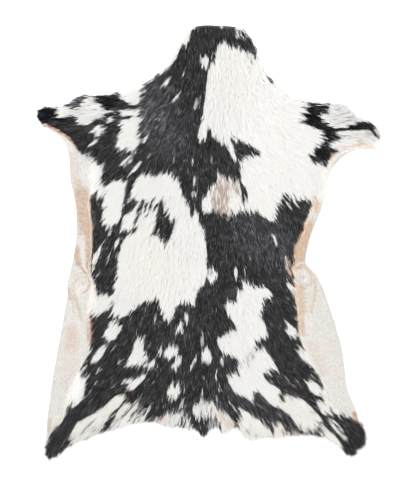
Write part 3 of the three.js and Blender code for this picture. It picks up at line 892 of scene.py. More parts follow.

# Soft stains along lines, with painted sheen and painted shade among them: dye, the tone that takes it,
# strength, width, points
stainsAndPaintedLight = {
    "left foreleg ginger": ("ginger", "pale", 1, 6, [
        (-338, 240), (-325, 236), (-310, 229), (-297, 220), (-285, 211), (-274, 200), (-265, 188),
    ]),
    "left foreleg ginger wide": ("ginger", "pale", 0.7, 10, [(-330, 235), (-312, 227)]),
    "left armpit grey": ("grey", "pale", 0.12, 30, [(-272, 180), (-272, 130)]),
    "left armpit pink": ("pink", "pale", 0.45, 30, [(-278, 170), (-275, 125)]),
    "left armpit light": ("white", "pale", 0.9, 40, [(-252, 180), (-248, 150), (-244, 115)]),
    "left side tan": ("tan", "pale", 0.5, 18, [(-268, 121), (-266, 105)]),
    "left waist tan": ("tan", "pale", 0.95, 32, [(-262, 98), (-259, 70), (-255, 45), (-254, 32)]),
    "left waist tan lower": ("tan", "pale", 0.9, 18, [
        (-247, 45), (-246, 10), (-246, -25), (-244, -50),
    ]),
    "left waist streak": ("tan", "pale", 0.6, 8, [(-250, -20), (-248, -40), (-246, -60)]),
    "left edge band": ("tan", "pale", 0.6, 6, [(-274, 16), (-262, 16)]),
    "left edge tan": ("tan", "pale", 0.85, 14, [(-272, -14), (-271, -30), (-268, -44)]),
    "left fold line": ("ginger", "pale", 0.9, 3.5, [
        (-268, -44), (-262, -53), (-256, -61), (-249, -69),
    ]),
    "left whorl right arc": ("tan", "pale", 0.8, 5, [
        (-249, -66), (-246, -76), (-245, -88), (-249, -98), (-258, -105),
    ]),
    "left whorl arc": ("tan", "pale", 0.35, 5, [(-279, -72), (-272, -66), (-260, -65)]),
    "left whorl inner arc": ("tan", "pale", 0.35, 4, [
        (-274, -82), (-268, -74), (-258, -71), (-252, -74),
    ]),
    "left whorl left arc": ("tan", "pale", 0.3, 6, [(-279, -84), (-279, -98), (-276, -106)]),
    "left whorl middle": ("slate", "pale", 0.25, 4, [(-259, -85), (-258, -89)]),
    "left whorl edge": ("tan", "pale", 0.6, 7, [(-287, -95), (-286, -118)]),
    "left fan one": ("tan", "pale", 0.45, 6, [(-279, -112), (-273, -121), (-266, -142), (-262, -161)]),
    "left fan two": ("tan", "pale", 0.35, 5, [(-282, -108), (-280, -125), (-279, -145)]),
    "left fan three": ("tan", "pale", 0.35, 5, [(-275, -108), (-271, -120)]),
    "left fringe": ("ginger", "pale", 0.55, 9, [
        (-246, -148), (-247, -170), (-247, -190), (-247, -208),
    ]),
    "left flank pink": ("pink", "pale", 0.8, 30, [(-283, -184), (-283, -212)]),
    "left flank pink low": ("pink", "pale", 0.25, 40, [(-285, -240), (-290, -290)]),
    "left foot tan": ("tan", "pale", 0.5, 9, [(-327, -366), (-330, -396)]),
    # painted shade: grey over the white hair at the right foreleg's tip
    "right foreleg tip": ("grey", "white", 0.3, 12, [(336, 213), (348, 208), (352, 222)]),
    "hind edge tan": ("tan", "white", 0.5, 12, [(150, -392), (164, -398), (178, -400), (196, -402)]),
    "right side tan": ("peach", "pale", 0.8, 12, [(218, 88), (223, 80), (221, 66)]),
    "right side pink": ("pink", "pale", 0.3, 14, [(210, 65), (210, 40)]),
    "right waist tan": ("peach", "pale", 1, 26, [
        (204, 32), (199, 10), (193, -10), (188, -30), (184, -46),
    ]),
    "right waist ginger": ("ginger", "pale", 0.8, 5, [
        (197, 24), (190, 6), (183, -8), (179, -30), (177, -50),
    ]),
    "right waist fold": ("white", "pale", 0.9, 5, [(181, -48), (190, -44), (202, -42), (207, -43)]),
    "right whorl": ("peach", "pale", 0.4, 8, [
        (186, -55), (194, -51), (205, -55), (213, -66), (219, -80), (221, -96), (219, -112),
        (215, -128), (211, -144),
    ]),
    "right whorl inner": ("ginger", "pale", 0.35, 4, [(200, -55), (208, -64), (212, -77), (210, -86)]),
    "right whorl left": ("peach", "pale", 0.5, 5, [
        (181, -58), (180, -70), (183, -83), (191, -93), (200, -96),
    ]),
    "right whorl ring": ("tan", "pale", 0.3, 3.5, [
        (188, -64), (186, -74), (189, -83), (197, -90), (207, -91),
    ]),
    "right whorl middle": ("slate", "pale", 0.2, 4, [(196, -72), (196, -76)]),
    "right flank tan": ("peach", "pale", 0.6, 22, [(186, -98), (189, -118), (192, -140)]),
    "right flank tan lower": ("peach", "pale", 0.75, 14, [(189, -145), (191, -168), (194, -190)]),
    **{
        f"right flank stroke {y}": ("peach", "pale", 0.35, 4, [
            (180, y), (190, y - 5), (203, y - 6), (213, y - 3),
        ]) for y in (-101, -110, -119, -128, -138)
    },
    "right flank pink": ("pink", "pale", 0.35, 26, [(214, -215), (226, -240), (236, -266)]),
    "right foot ginger": ("ginger", "pale", 0.8, 10, [(300, -354), (309, -366), (317, -381)]),
    "right foreleg ginger": ("ginger", "pale", 0.85, 4, [(264, 185), (234, 159)]),
    "right foreleg tan": ("tan", "white", 0.6, 8, [(262, 188), (290, 195), (334, 203)]),
    "hind edge ginger": ("ginger", "cream", 0.45, 10, [(248, -410), (262, -420), (276, -431)]),
    "tail edge ginger": ("ginger", "cream", 0.5, 10, [(155, -394), (170, -394)]),
    "right waist brown": ("brown", "black", 0.6, 6, [
        (197, 38), (192, 18), (187, 2), (178, -10), (175, -35), (174, -58), (178, -80), (181, -104),
    ]),
    "left fringe brown": ("brown", "black", 0.35, 6, [(-240, -150), (-240, -205)]),
    "right side brown": ("brown", "black", 0.5, 8, [(203, 92), (213, 78)]),
    # painted sheen: slate laid over the black hair where it shines
    "left shoulder painted sheen": ("slate", "black", 0.5, 60, [(-120, 260), (-115, 235)]),
    "left foreleg painted sheen": ("slate", "black", 1, 30, [(-292, 284), (-262, 302)]),
    "right hip painted sheen": ("slate", "black", 0.15, 100, [(60, -300), (150, -360)]),
    "left neck painted sheen": ("slate", "black", 0.35, 80, [(-100, 300), (-80, 200)]),
    "right side painted sheen": ("slate", "black", 0.3, 100, [(90, 20), (150, -20)]),
    "right hip maroon": ("maroon", "black", 0.6, 24, [(186, -298), (194, -302)]),
    "left hind maroon": ("maroon", "black", 0.6, 24, [(-169, -318), (-161, -318)]),
    "foreleg tip ink": ("ink", "black", 0.95, 60, [(-345, 262), (-318, 266)]),
    "elbow ink": ("ink", "black", 0.7, 50, [(-220, 292), (-210, 288)]),
    "right elbow ink": ("ink", "black", 0.85, 70, [(215, 268), (240, 250)]),
    "right bar ink": ("ink", "black", 0.9, 40, [(290, 236), (330, 242), (346, 222)]),
    "right armpit ink": ("ink", "black", 0.6, 36, [(245, 215), (240, 180)]),
    "right foot ink": ("ink", "black", 0.2, 40, [(300, -400), (290, -430)]),
    "left foreleg grey": ("grey", "white", 0.25, 60, [(-262, 290), (-270, 262)]),
    "right foreleg grey": ("grey", "white", 0.15, 60, [(268, 268), (300, 262), (330, 236)]),
    "tail pink": ("tan", "white", 0.5, 22, [(26, -350), (38, -366), (44, -378)]),
    "tail grey": ("grey", "white", 0.15, 60, [(-95, -374), (-50, -366), (-14, -346), (16, -346)]),
    "tail grey right": ("grey", "cream", 0.12, 50, [(75, -400), (125, -405)]),
    "right thigh grey": ("grey", "cream", 0.1, 60, [(180, -340), (205, -372)]),
    # painted shade: greyer along the lower edge of the left hind's cream patch
    "left hind grey": ("grey", "cream", 0.35, 34, [(-275, -408), (-250, -404), (-225, -392), (-196, -384)]),
    "left hind grey upper": ("grey", "cream", 0.1, 40, [(-215, -350), (-165, -345)]),
    "saddle blush": ("pink", "white", 0.35, 20, [(-48, -38), (-42, -38)]),
    "saddle blush two": ("pink", "white", 0.2, 20, [(-104, -26), (-98, -26)]),
    "saddle warmth": ("cream", "white", 0.6, 110, [(-130, -10), (-125, -60)]),
    "neck warmth": ("cream", "white", 0.4, 70, [(60, 380), (60, 350)]),
    "tail blush": ("pink", "white", 0.7, 16, [(-104, -366), (-92, -366)]),
}

# Creases and rings of hair on the flanks: rise in mm, width, points
folds = {
    "left waist crease": (-0.9, 3, [(-270, -38), (-262, -52), (-254, -62), (-246, -72)]),
    "left waist fold": (0.7, 4, [(-262, -40), (-254, -53), (-246, -62)]),
    "left whorl": (0.5, 4, [
        (-273, -78), (-264, -70), (-252, -70), (-245, -80), (-245, -92), (-252, -101), (-262, -104),
    ]),
    "left whorl middle": (-0.4, 3, [(-258, -86), (-258, -90)]),
    "right whorl": (0.6, 4, [
        (185, -58), (197, -52), (209, -60), (213, -75), (209, -90), (197, -93), (187, -80),
    ]),
    "right waist fold": (0.8, 3, [(184, -46), (194, -46), (206, -45)]),
    "right ripple one": (0.35, 3, [(184, -104), (196, -110), (212, -108)]),
    "right ripple two": (0.35, 3, [(184, -116), (198, -122), (214, -120)]),
    "right ripple three": (0.35, 3, [(186, -130), (200, -136), (214, -134)]),
    "left hip crease": (-0.5, 3, [(-287, -314), (-290, -333)]),
}

paint = {
    "grid": 1,  # mm between the map's points
    "blackGrowth": 1,  # mm that black spreads over light tones
    "sparse": 0.1,  # a tone on a smaller share of the hairs than this leaves the black solid
    "downFrom": -1,  # mm into a flank where the pale down begins
    "taper": 0.75,  # how much thinner a fleck gets towards its ends
    "stainFade": (0.2, 0.7),  # where a stain begins and ends to fade, against its width
    "flankLight": 0.8,  # how much darker the flanks' own colour is than it looks
}


def paintCoat():
    chart = Field(paint["grid"])
    tone, under = np.full(chart.x.shape, black), np.full(chart.x.shape, black)
    share = np.ones(chart.x.shape)

    def lay(name, part, mask, block):
        if part < 1:
            under[block][mask] = np.where(share[block][mask] >= 1, tone[block][mask], under[block][mask])
        tone[block][mask] = toneNames.index(name)
        share[block][mask] = part

    for name, part, points in patches.values():
        ring = smoothRing(points)
        block = chart.blockOf(ring, 1)
        lay(name, part, insideRing(ring, chart.x[block], chart.y[block]), block)
    flank = ground.read("flank", chart.x, chart.y) > paint["downFrom"]
    lay("pale", 1, flank, np.s_[:, :])
    for name, part, width, points in flecks.values():
        line = np.array(points, float)
        block = chart.blockOf(line, width)
        away, along = nearLine(line, chart.x[block], chart.y[block])
        taper = np.sqrt(1 - paint["taper"] * (2 * along - 1) ** 2)
        lay(name, part, away < width / 2 * taper, block)
    solid = ((tone == black) & (share >= 1)) | ((under == black) & (share < paint["sparse"]))
    grown = solid
    for _ in range(round(paint["blackGrowth"] / chart.step)):
        sides = [np.roll(grown, shift, axis) for shift in (-1, 1) for axis in (0, 1)]
        grown = grown | np.any(sides, axis=0)
    spread = grown & ~solid
    tone[spread], share[spread] = black, 1
    chart.layers.update(tone=tone, under=under, share=share)
    return chart


def paintStainsAndLight():
    wash = {name: np.zeros(chart.x.shape + (4,), np.float32) for name in toneNames}
    fadeFrom, fadeTo = paint["stainFade"]
    for dye, target, strength, width, points in stainsAndPaintedLight.values():
        block = chart.blockOf(np.array(points, float), width)
        away, _ = nearLine(points, chart.x[block], chart.y[block])
        amount = strength * (1 - softStep(away, width * fadeFrom, width * fadeTo))[..., None]
        color = np.append(linear(dyes[dye]), 1.0)
        wash[target][block] = wash[target][block] * (1 - amount) + color * amount
    return wash


chart = paintCoat()
washes = paintStainsAndLight()
ground.layers["fold"] = np.zeros(ground.x.shape)
for rise, width, points in folds.values():
    away, _ = nearLine(points, ground.x, ground.y)
    ground.layers["fold"] += rise * np.exp(-((away / width) ** 2))


# Colour of the coat and its tone at places. A hair whose chance is over the share takes the tone under
# it, and taken says how much dye each hair takes up.
def coatColor(x, y, chance, taken):
    cells = chart.cellOf(x, y)
    tone, under, share = (chart.layers[name][cells] for name in ("tone", "under", "share"))
    tone = np.where(chance > share, under, tone)
    color = np.array([linear(tones[name]) for name in toneNames])[tone]
    j, i = cells
    for index, name in enumerate(toneNames):
        here = tone == index
        over = washes[name][j[here], i[here]]
        most = 1 / np.maximum(over[:, 3:], 0.1)  # a hair never goes past the dye's own colour
        amount = np.minimum(taken[here, None], most)
        color[here] = color[here] * (1 - over[:, 3:] * amount) + over[:, :3] * amount
    return color, tone


print("coat painted:", len(patches), "patches,", len(flecks), "flecks,", len(stainsAndPaintedLight), "stainsAndPaintedLight")


# The tanned skin, which all the hair stands on
skin = {
    "thickness": 1.5,
    "wideStep": 7, "fineStep": 3.2,  # spacing of the mesh's points under the coat and on the flanks
    "edgeStep": 4.5,  # and along the edge
    "half": (365, 455),  # how far the rows of points reach from the map's zero
    "lookIn": 12,  # how far inside the edge its coat is looked up
    "edgePasses": 6, "insetPasses": 10, "wavePasses": 2,  # how often the edge's lines are softened
    "uneven": 0.15,  # how far the points stand off their rows, against the spacing
    "inset": 0.6,  # how far the whole edge lies inside the outline
    "overhang": 7,  # how far hair that lies outwards reaches past the skin
    "tuck": 1.8,  # how far the skin's edge lies under the coat's own
    "coatDepth": 5.4,
    "downDepth": 0.9,
    "edgeRoll": 11,
    "ripple": 0.5, "rippleSizes": (17, 31, 23, 41),
    "wave": 1.6,  # how uneven the cut edge is
    "edgeRise": 0.7,  # height of the rounded cut edge, against the thickness
    # the cut edge's own colour, darkened as a painted shadow line along the rim
    "edgeColorAndShade": (218, 213, 206),
    "edgeShows": 0.12,  # how much of that colour shows where hair covers the edge
}


def skinEdge():
    smooth = softened(rim, skin["edgePasses"])
    normal = outward(smooth)
    leaving = normal[:, 0] * lie.read("headX", *smooth.T) + normal[:, 1] * lie.read("headY", *smooth.T)
    coat = ground.read("coat", *(smooth - normal * skin["lookIn"]).T)
    tuck = skin["tuck"] * coat * (smooth[:, 1] < neckCut)
    inset = skin["overhang"] * np.clip(leaving, 0, 1) * coat + tuck + skin["inset"]
    inset = softened(inset, skin["insetPasses"])
    inset += skin["wave"] * softened(dice.uniform(0, 1, len(inset)), skin["wavePasses"])
    return smooth - normal * inset[:, None]


def skinTop(x, y):  # height of the skin's grain side, in mm
    roll = np.sqrt(1 - (1 - np.clip(ground.read("inside", x, y) / skin["edgeRoll"], 0, 1)) ** 2)
    coat = ground.read("coat", x, y)
    depth = (skin["downDepth"] + (skin["coatDepth"] - skin["downDepth"]) * coat) * roll
    sizes = skin["rippleSizes"]
    sway = np.sin(x / sizes[0] + 2 * np.sin(y / sizes[1])) * np.sin(y / sizes[2] + x / sizes[3])
    ripple = skin["ripple"] * (sway + 1) * (1 - coat)
    flat = np.maximum(relief.read("top", x, y) - depth, skin["thickness"])
    return flat + (ripple + ground.read("fold", x, y)) * roll


edge = skinEdge()
ground.layers["onSkin"] = signedDistance(edge, ground)


def skinPoints(step, wanted):  # places on an uneven grid where wanted(x, y) holds
    halfX, halfY = skin["half"]
    rows = np.arange(-halfY, halfY, step * 0.866)  # rows of even-sided triangles
    x, y = np.meshgrid(np.arange(-halfX, halfX, step), rows)
    x = x + (np.arange(len(rows)) % 2)[:, None] * step / 2
    slip = dice.uniform(-skin["uneven"], skin["uneven"], (2, x.size)) * step
    x, y = x.ravel() + slip[0], y.ravel() + slip[1]
    keep = (ground.read("onSkin", x, y) > step * 0.45) & wanted(x, y)
    return np.column_stack([x, y])[keep]


def makeSkin():
    wide = skinPoints(skin["wideStep"], lambda x, y: ground.read("coat", x, y) > 0.5)
    fine = skinPoints(skin["fineStep"], lambda x, y: ground.read("coat", x, y) <= 0.5)
    ring = evenRing(edge, skin["edgeStep"])
    points = [Vector(p) for p in np.vstack([ring, wide, fine])]
    ends = [(i, (i + 1) % len(ring)) for i in range(len(ring))]
    flat, _, faces, *_ = geometry.delaunay_2d_cdt(points, ends, [list(range(len(ring)))], 1, 1e-4)
    flat = np.array([tuple(p) for p in flat])
    faces = np.array([f for f in faces if len(f) == 3])
    faces = faces if signedArea(flat[faces[0]]) > 0 else faces[:, ::-1]
    up = skinTop(*flat.T)
    low = np.maximum(up - skin["thickness"], 0)
    count = len(flat)
    sides = {side for a, b, c in faces.tolist() for side in ((a, b), (b, c), (c, a))}
    rimSides = sorted((a, b) for a, b in sides if (b, a) not in sides)
    onEdge = np.unique(np.array(rimSides).ravel())
    up[onEdge] = low[onEdge] + skin["thickness"] * skin["edgeRise"]
    place = np.column_stack([np.vstack([flat, flat]), np.concatenate([up, low])])
    place[:, :2] += zero
    walls = [tri for a, b in rimSides for tri in ((b, a, a + count), (b, a + count, b + count))]
    allFaces = np.vstack([faces, faces[:, ::-1] + count, walls])
    mesh = bpy.data.meshes.new("skin")
    mesh.from_pydata((place * mm).tolist(), [], allFaces.tolist())
    mesh.materials.append(skinMaterial())
    mesh.materials.append(fleshMaterial())
    mesh.polygons.foreach_set("material_index", np.repeat([0, 1], [len(faces), len(faces) + len(walls)]))
    mesh.polygons.foreach_set("use_smooth", np.ones(len(allFaces), bool))
    color, _ = coatColor(*flat.T, np.full(count, 0.5), np.ones(count))
    color *= np.where(ground.read("coat", *flat.T) < 0.5, paint["flankLight"], 1)[:, None]
    # the cut edge's colour with a painted shadow line: full on the flanks, faint under the coat
    bare = np.where(ground.read("coat", *flat[onEdge].T) < 0.5, 1, skin["edgeShows"])[:, None]
    color[onEdge] = color[onEdge] * (1 - bare) + linear(skin["edgeColorAndShade"]) * bare
    tint = mesh.color_attributes.new("coat", "FLOAT_COLOR", "POINT")
    tint.data.foreach_set("color", np.tile(np.column_stack([color, np.ones(count)]), (2, 1)).ravel())
    piece = bpy.data.objects.new("skin", mesh)
    bpy.context.collection.objects.link(piece)
    return piece


grainFinish = {
    "mottleScale": 60, "poreScale": 900, "wrinkleScale": 160, "wrinkleBend": 1.2,
    "mottle": 0.25, "mottleColor": (0.9, 0.82, 0.76, 1),
    "poreShare": 0.3, "bump": 0.35, "bumpDepth": 0.0008,
    "roughness": 0.7, "poreRoughness": 0.15,
    "specular": 0.25,
}


def skinMaterial():
    shader = Shader("grainSide")
    finish = grainFinish
    tint = shader.node("ShaderNodeAttribute", {"attribute_name": "coat"}, {})
    place = shader.node("ShaderNodeTexCoord", {}, {}, out="Object")
    mottle = shader.node("ShaderNodeTexNoise", {},
                         {"Vector": place, "Scale": finish["mottleScale"], "Detail": 4})
    pores = shader.node("ShaderNodeTexNoise", {},
                        {"Vector": place, "Scale": finish["poreScale"], "Detail": 3})
    wrinkles = shader.node("ShaderNodeTexNoise", {},
                           {"Vector": place, "Scale": finish["wrinkleScale"], "Detail": 5,
                            "Distortion": finish["wrinkleBend"]})
    color = shader.blend("MULTIPLY", mottle * finish["mottle"], tint, finish["mottleColor"])
    height = pores * finish["poreShare"] + wrinkles
    bump = shader.node("ShaderNodeBump", {},
                       {"Height": height, "Strength": finish["bump"], "Distance": finish["bumpDepth"]})
    roughness = finish["roughness"] + finish["poreRoughness"] * pores
    return shader.finish({"Base Color": color, "Roughness": roughness, "Normal": bump,
                          "Specular IOR Level": finish["specular"]})


fleshFinish = {
    "cloudScale": 14, "napScale": 700,
    "cloudShare": 0.7,
    "colors": [(0.3, (0.58, 0.47, 0.36, 1)), (0.7, (0.74, 0.66, 0.55, 1))],
    "bump": 0.4, "bumpDepth": 0.0005,
    "roughness": 0.85, "napRoughness": 0.1,
    "sheen": 0.3,
}


def fleshMaterial():
    shader = Shader("fleshSide")
    finish = fleshFinish
    place = shader.node("ShaderNodeTexCoord", {}, {}, out="Object")
    cloud = shader.node("ShaderNodeTexNoise", {},
                        {"Vector": place, "Scale": finish["cloudScale"], "Detail": 6})
    nap = shader.node("ShaderNodeTexNoise", {},
                      {"Vector": place, "Scale": finish["napScale"], "Detail": 4})
    mixed = cloud * finish["cloudShare"] + nap * (1 - finish["cloudShare"])
    color = shader.node("ShaderNodeValToRGB", {"stops": finish["colors"]}, {"Fac": mixed})
    bump = shader.node("ShaderNodeBump", {},
                       {"Height": nap, "Strength": finish["bump"], "Distance": finish["bumpDepth"]})
    roughness = finish["roughness"] + finish["napRoughness"] * nap
    return shader.finish({"Base Color": color, "Roughness": roughness, "Normal": bump,
                          "Sheen Weight": finish["sheen"]})


skinPiece = makeSkin()
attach(skinPiece, "root")
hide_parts("hide")
print("skin made:", len(skinPiece.data.polygons), "faces")


# The hair. Lengths are in mm, and a pair of values holds the least and the most.
hair = {
    "tries": 693750,  # places over the whole map where a hair may stand
    "edgeGap": 0.4,  # bare rim of the skin
    "thinning": (0.05, 0.75),  # share of coat between which the hairs grow dense
    "lockStep": 2.8,  # spacing of the locks that hairs gather into
    "length": 19,
    "lockLength": (0.8, 1.12), "hairLength": (0.8, 1.08),  # of locks and single hairs, against that
    "flankLength": 0.4,  # length of the hair where the coat ends, against the full one
    "width": 0.62, "hairWidth": (0.7, 1.3),
    "belly": 0.55,  # where along its length a hair is widest
    "bend": 0.04,  # how far its middle stands aside, against the length
    "roll": 28,  # how much the blades roll about their length, degrees
    "gather": (0.45, 0.95),  # how far the tips draw together in a lock
    "guardShare": 0.06,  # longer single hairs that lie on top
    "guard": {"length": 1.35, "turn": 1.5, "rise": 1.12, "width": 0.8, "gather": 0.1},  # against the others
    "past": 4,  # how far the longest hairs reach past the outline
    "trim": 0.93, "trims": 16,  # hairs that reach too far are cut back to this share, so many times
    "edgeSlack": 1,  # how much further one may still reach before it is left out
    "reach": 0.78,  # where along its length a hair takes its colour from the map
    "combWidth": 2.1, "combLength": 15,  # size of the spikes that every edge breaks into
    "slide": 4.4,  # how far the spikes carry their colour along the lie of the hair
    "flankSlide": 0.9, "flankWidth": 14,  # how much further they do so along the flanks, and how far in
    "lockSlide": 1.5, "hairSlide": 0.5, "guardSlide": 4,  # how much locks and hairs differ in that
    "wispWidth": 4.6,  # size of the wisps along the outline
    "wispRange": (-1.8, 1.6),  # values between which a gap turns into a wisp
    "gapEdge": 0.2,  # how far hairs reach past the outline in the gaps between wisps
    "lockTurn": 11, "hairTurn": 5,  # how far locks and single hairs turn from the lie, degrees
    "blackSpread": 0.64, "whiteSpread": 0.012,  # how much locks differ in brightness, partly random tone and on the black partly painted glints
    "glintStep": 2,  # spacing of the fine tufts that differ in brightness, as painted glints on the black
    "dyeSpread": (0.5, 0.2),  # how unevenly spikes and single hairs take up dye
    "overFlank": (-5, 12),  # how far the tips of black hairs hang over the flanks' down
    "flankTrim": 0.8, "flankTrims": 5,  # how those that hang further are cut back
    "cleanFrom": 120,  # how far forward the coat's edge along the flanks is a clean one
    "cleanReach": 0.2,  # where hairs there take their colour, against their length
    "lockRise": (0.75, 1.1), "leastRise": 1.2,  # height of the locks above the skin
    "middleRise": (0.3, 0.35), "tipRise": (0.75, 0.3),  # of single hairs in a lock: least, and the spread
    "rootDepth": 0.3, "leastTip": 0.4,  # how deep the roots stand, and how high the tips keep off the floor
    "colorRange": (0.003, 0.92),
    "blackRootShade": 0.5, "whiteRootShade": 0.8,  # painted shade that darkens the roots
    "middleShade": 0.96, "tipShade": 1.03,  # and the rest of each hair
    "bands": {"Fore": (120, 999), "Middle": (-130, 120), "Rear": (-999, -130)},
    "ragged": [  # places where hairs reach further past the outline: x, y, size, past
        (-350, 260, 30, 6), (-300, -430, 60, 8), (305, -420, 60, 8), (-220, -395, 60, 9),
        (-150, -388, 45, 9), (-60, -392, 45, 11), (-8, -394, 14, 11), (20, -394, 45, 9),
        (110, -400, 45, 10), (200, -400, 45, 8),
    ],
    "edgeBite": 0.6,  # how far the gaps between wisps cut in there, against how far the wisps reach out
    "edgeSoft": 0.2,  # how unevenly single hairs end along the outline
    "raggedLength": 0.1,  # how much longer the hair is there, for each mm more
    "tufts": [  # x, y, size, then where the tuft comes to a point
        (-9, -386, 13, -9, -405), (33, -390, 10, 34, -407),
    ],
    "clump": 0.85,  # how tightly a tuft does so
}


def scatter(tries, wanted):  # even random places over the hide, kept where wanted(x, y) > a draw
    halfX, halfY = mapHalf
    step = math.sqrt(4 * halfX * halfY / tries)
    xs, ys = np.arange(-halfX, halfX, step), np.arange(-halfY, halfY, step)
    x, y = (grid.ravel() for grid in np.meshgrid(xs, ys))
    x, y = x + dice.uniform(0, step, x.size), y + dice.uniform(0, step, y.size)
    chosen = np.flatnonzero(wanted(x, y) > dice.random(x.size))
    return x[chosen], y[chosen]


lockGrid = {"half": (390, 490), "slip": 0.95}  # slip is how unevenly the locks stand, against their spacing


def locksOf(x, y, step):  # the lock that each hair belongs to: its number and its middle
    halfX, halfY = lockGrid["half"]
    columns, rows = int(2 * halfX / step) + 4, int(2 * halfY / step) + 4
    slipX, slipY = dice.uniform(-0.5, 0.5, (2, rows, columns)) * step * lockGrid["slip"]
    i0 = ((x + halfX) / step).astype(int) + 1
    j0 = ((y + halfY) / step).astype(int) + 1
    best = np.full(x.size, 1e9)
    number, middleX, middleY = np.zeros(x.size, int), np.zeros(x.size), np.zeros(x.size)
    for di in (-1, 0, 1):
        for dj in (-1, 0, 1):
            i, j = i0 + di, j0 + dj
            cx = (i - 0.5) * step - halfX + slipX[j, i]
            cy = (j - 0.5) * step - halfY + slipY[j, i]
            away = (x - cx) ** 2 + (y - cy) ** 2
            nearer = away < best
            best = np.where(nearer, away, best)
            number = np.where(nearer, j * columns + i, number)
            middleX, middleY = np.where(nearer, cx, middleX), np.where(nearer, cy, middleY)
    return number, middleX, middleY, rows * columns


def turned(x, y, angle):
    return x * np.cos(angle) - y * np.sin(angle), x * np.sin(angle) + y * np.cos(angle)


def evenly(value):  # normal draws turned into even ones, 0 to 1
    return 1 / (1 + np.exp(-1.5 * value))


def furthest(x, y):  # how far the longest hairs reach past the outline
    past = np.full(x.size, float(hair["past"]))
    for placeX, placeY, size, further in hair["ragged"]:
        near = np.exp(-((x - placeX) ** 2 + (y - placeY) ** 2) / size**2)
        past = np.maximum(past, hair["past"] + (further - hair["past"]) * near)
    return past


comb = Field(1.5)
comb.layers["comb"] = drawnOut(comb, hair["combWidth"], hair["combLength"])
comb.layers["wisp"] = drawnOut(comb, hair["wispWidth"], hair["combLength"])


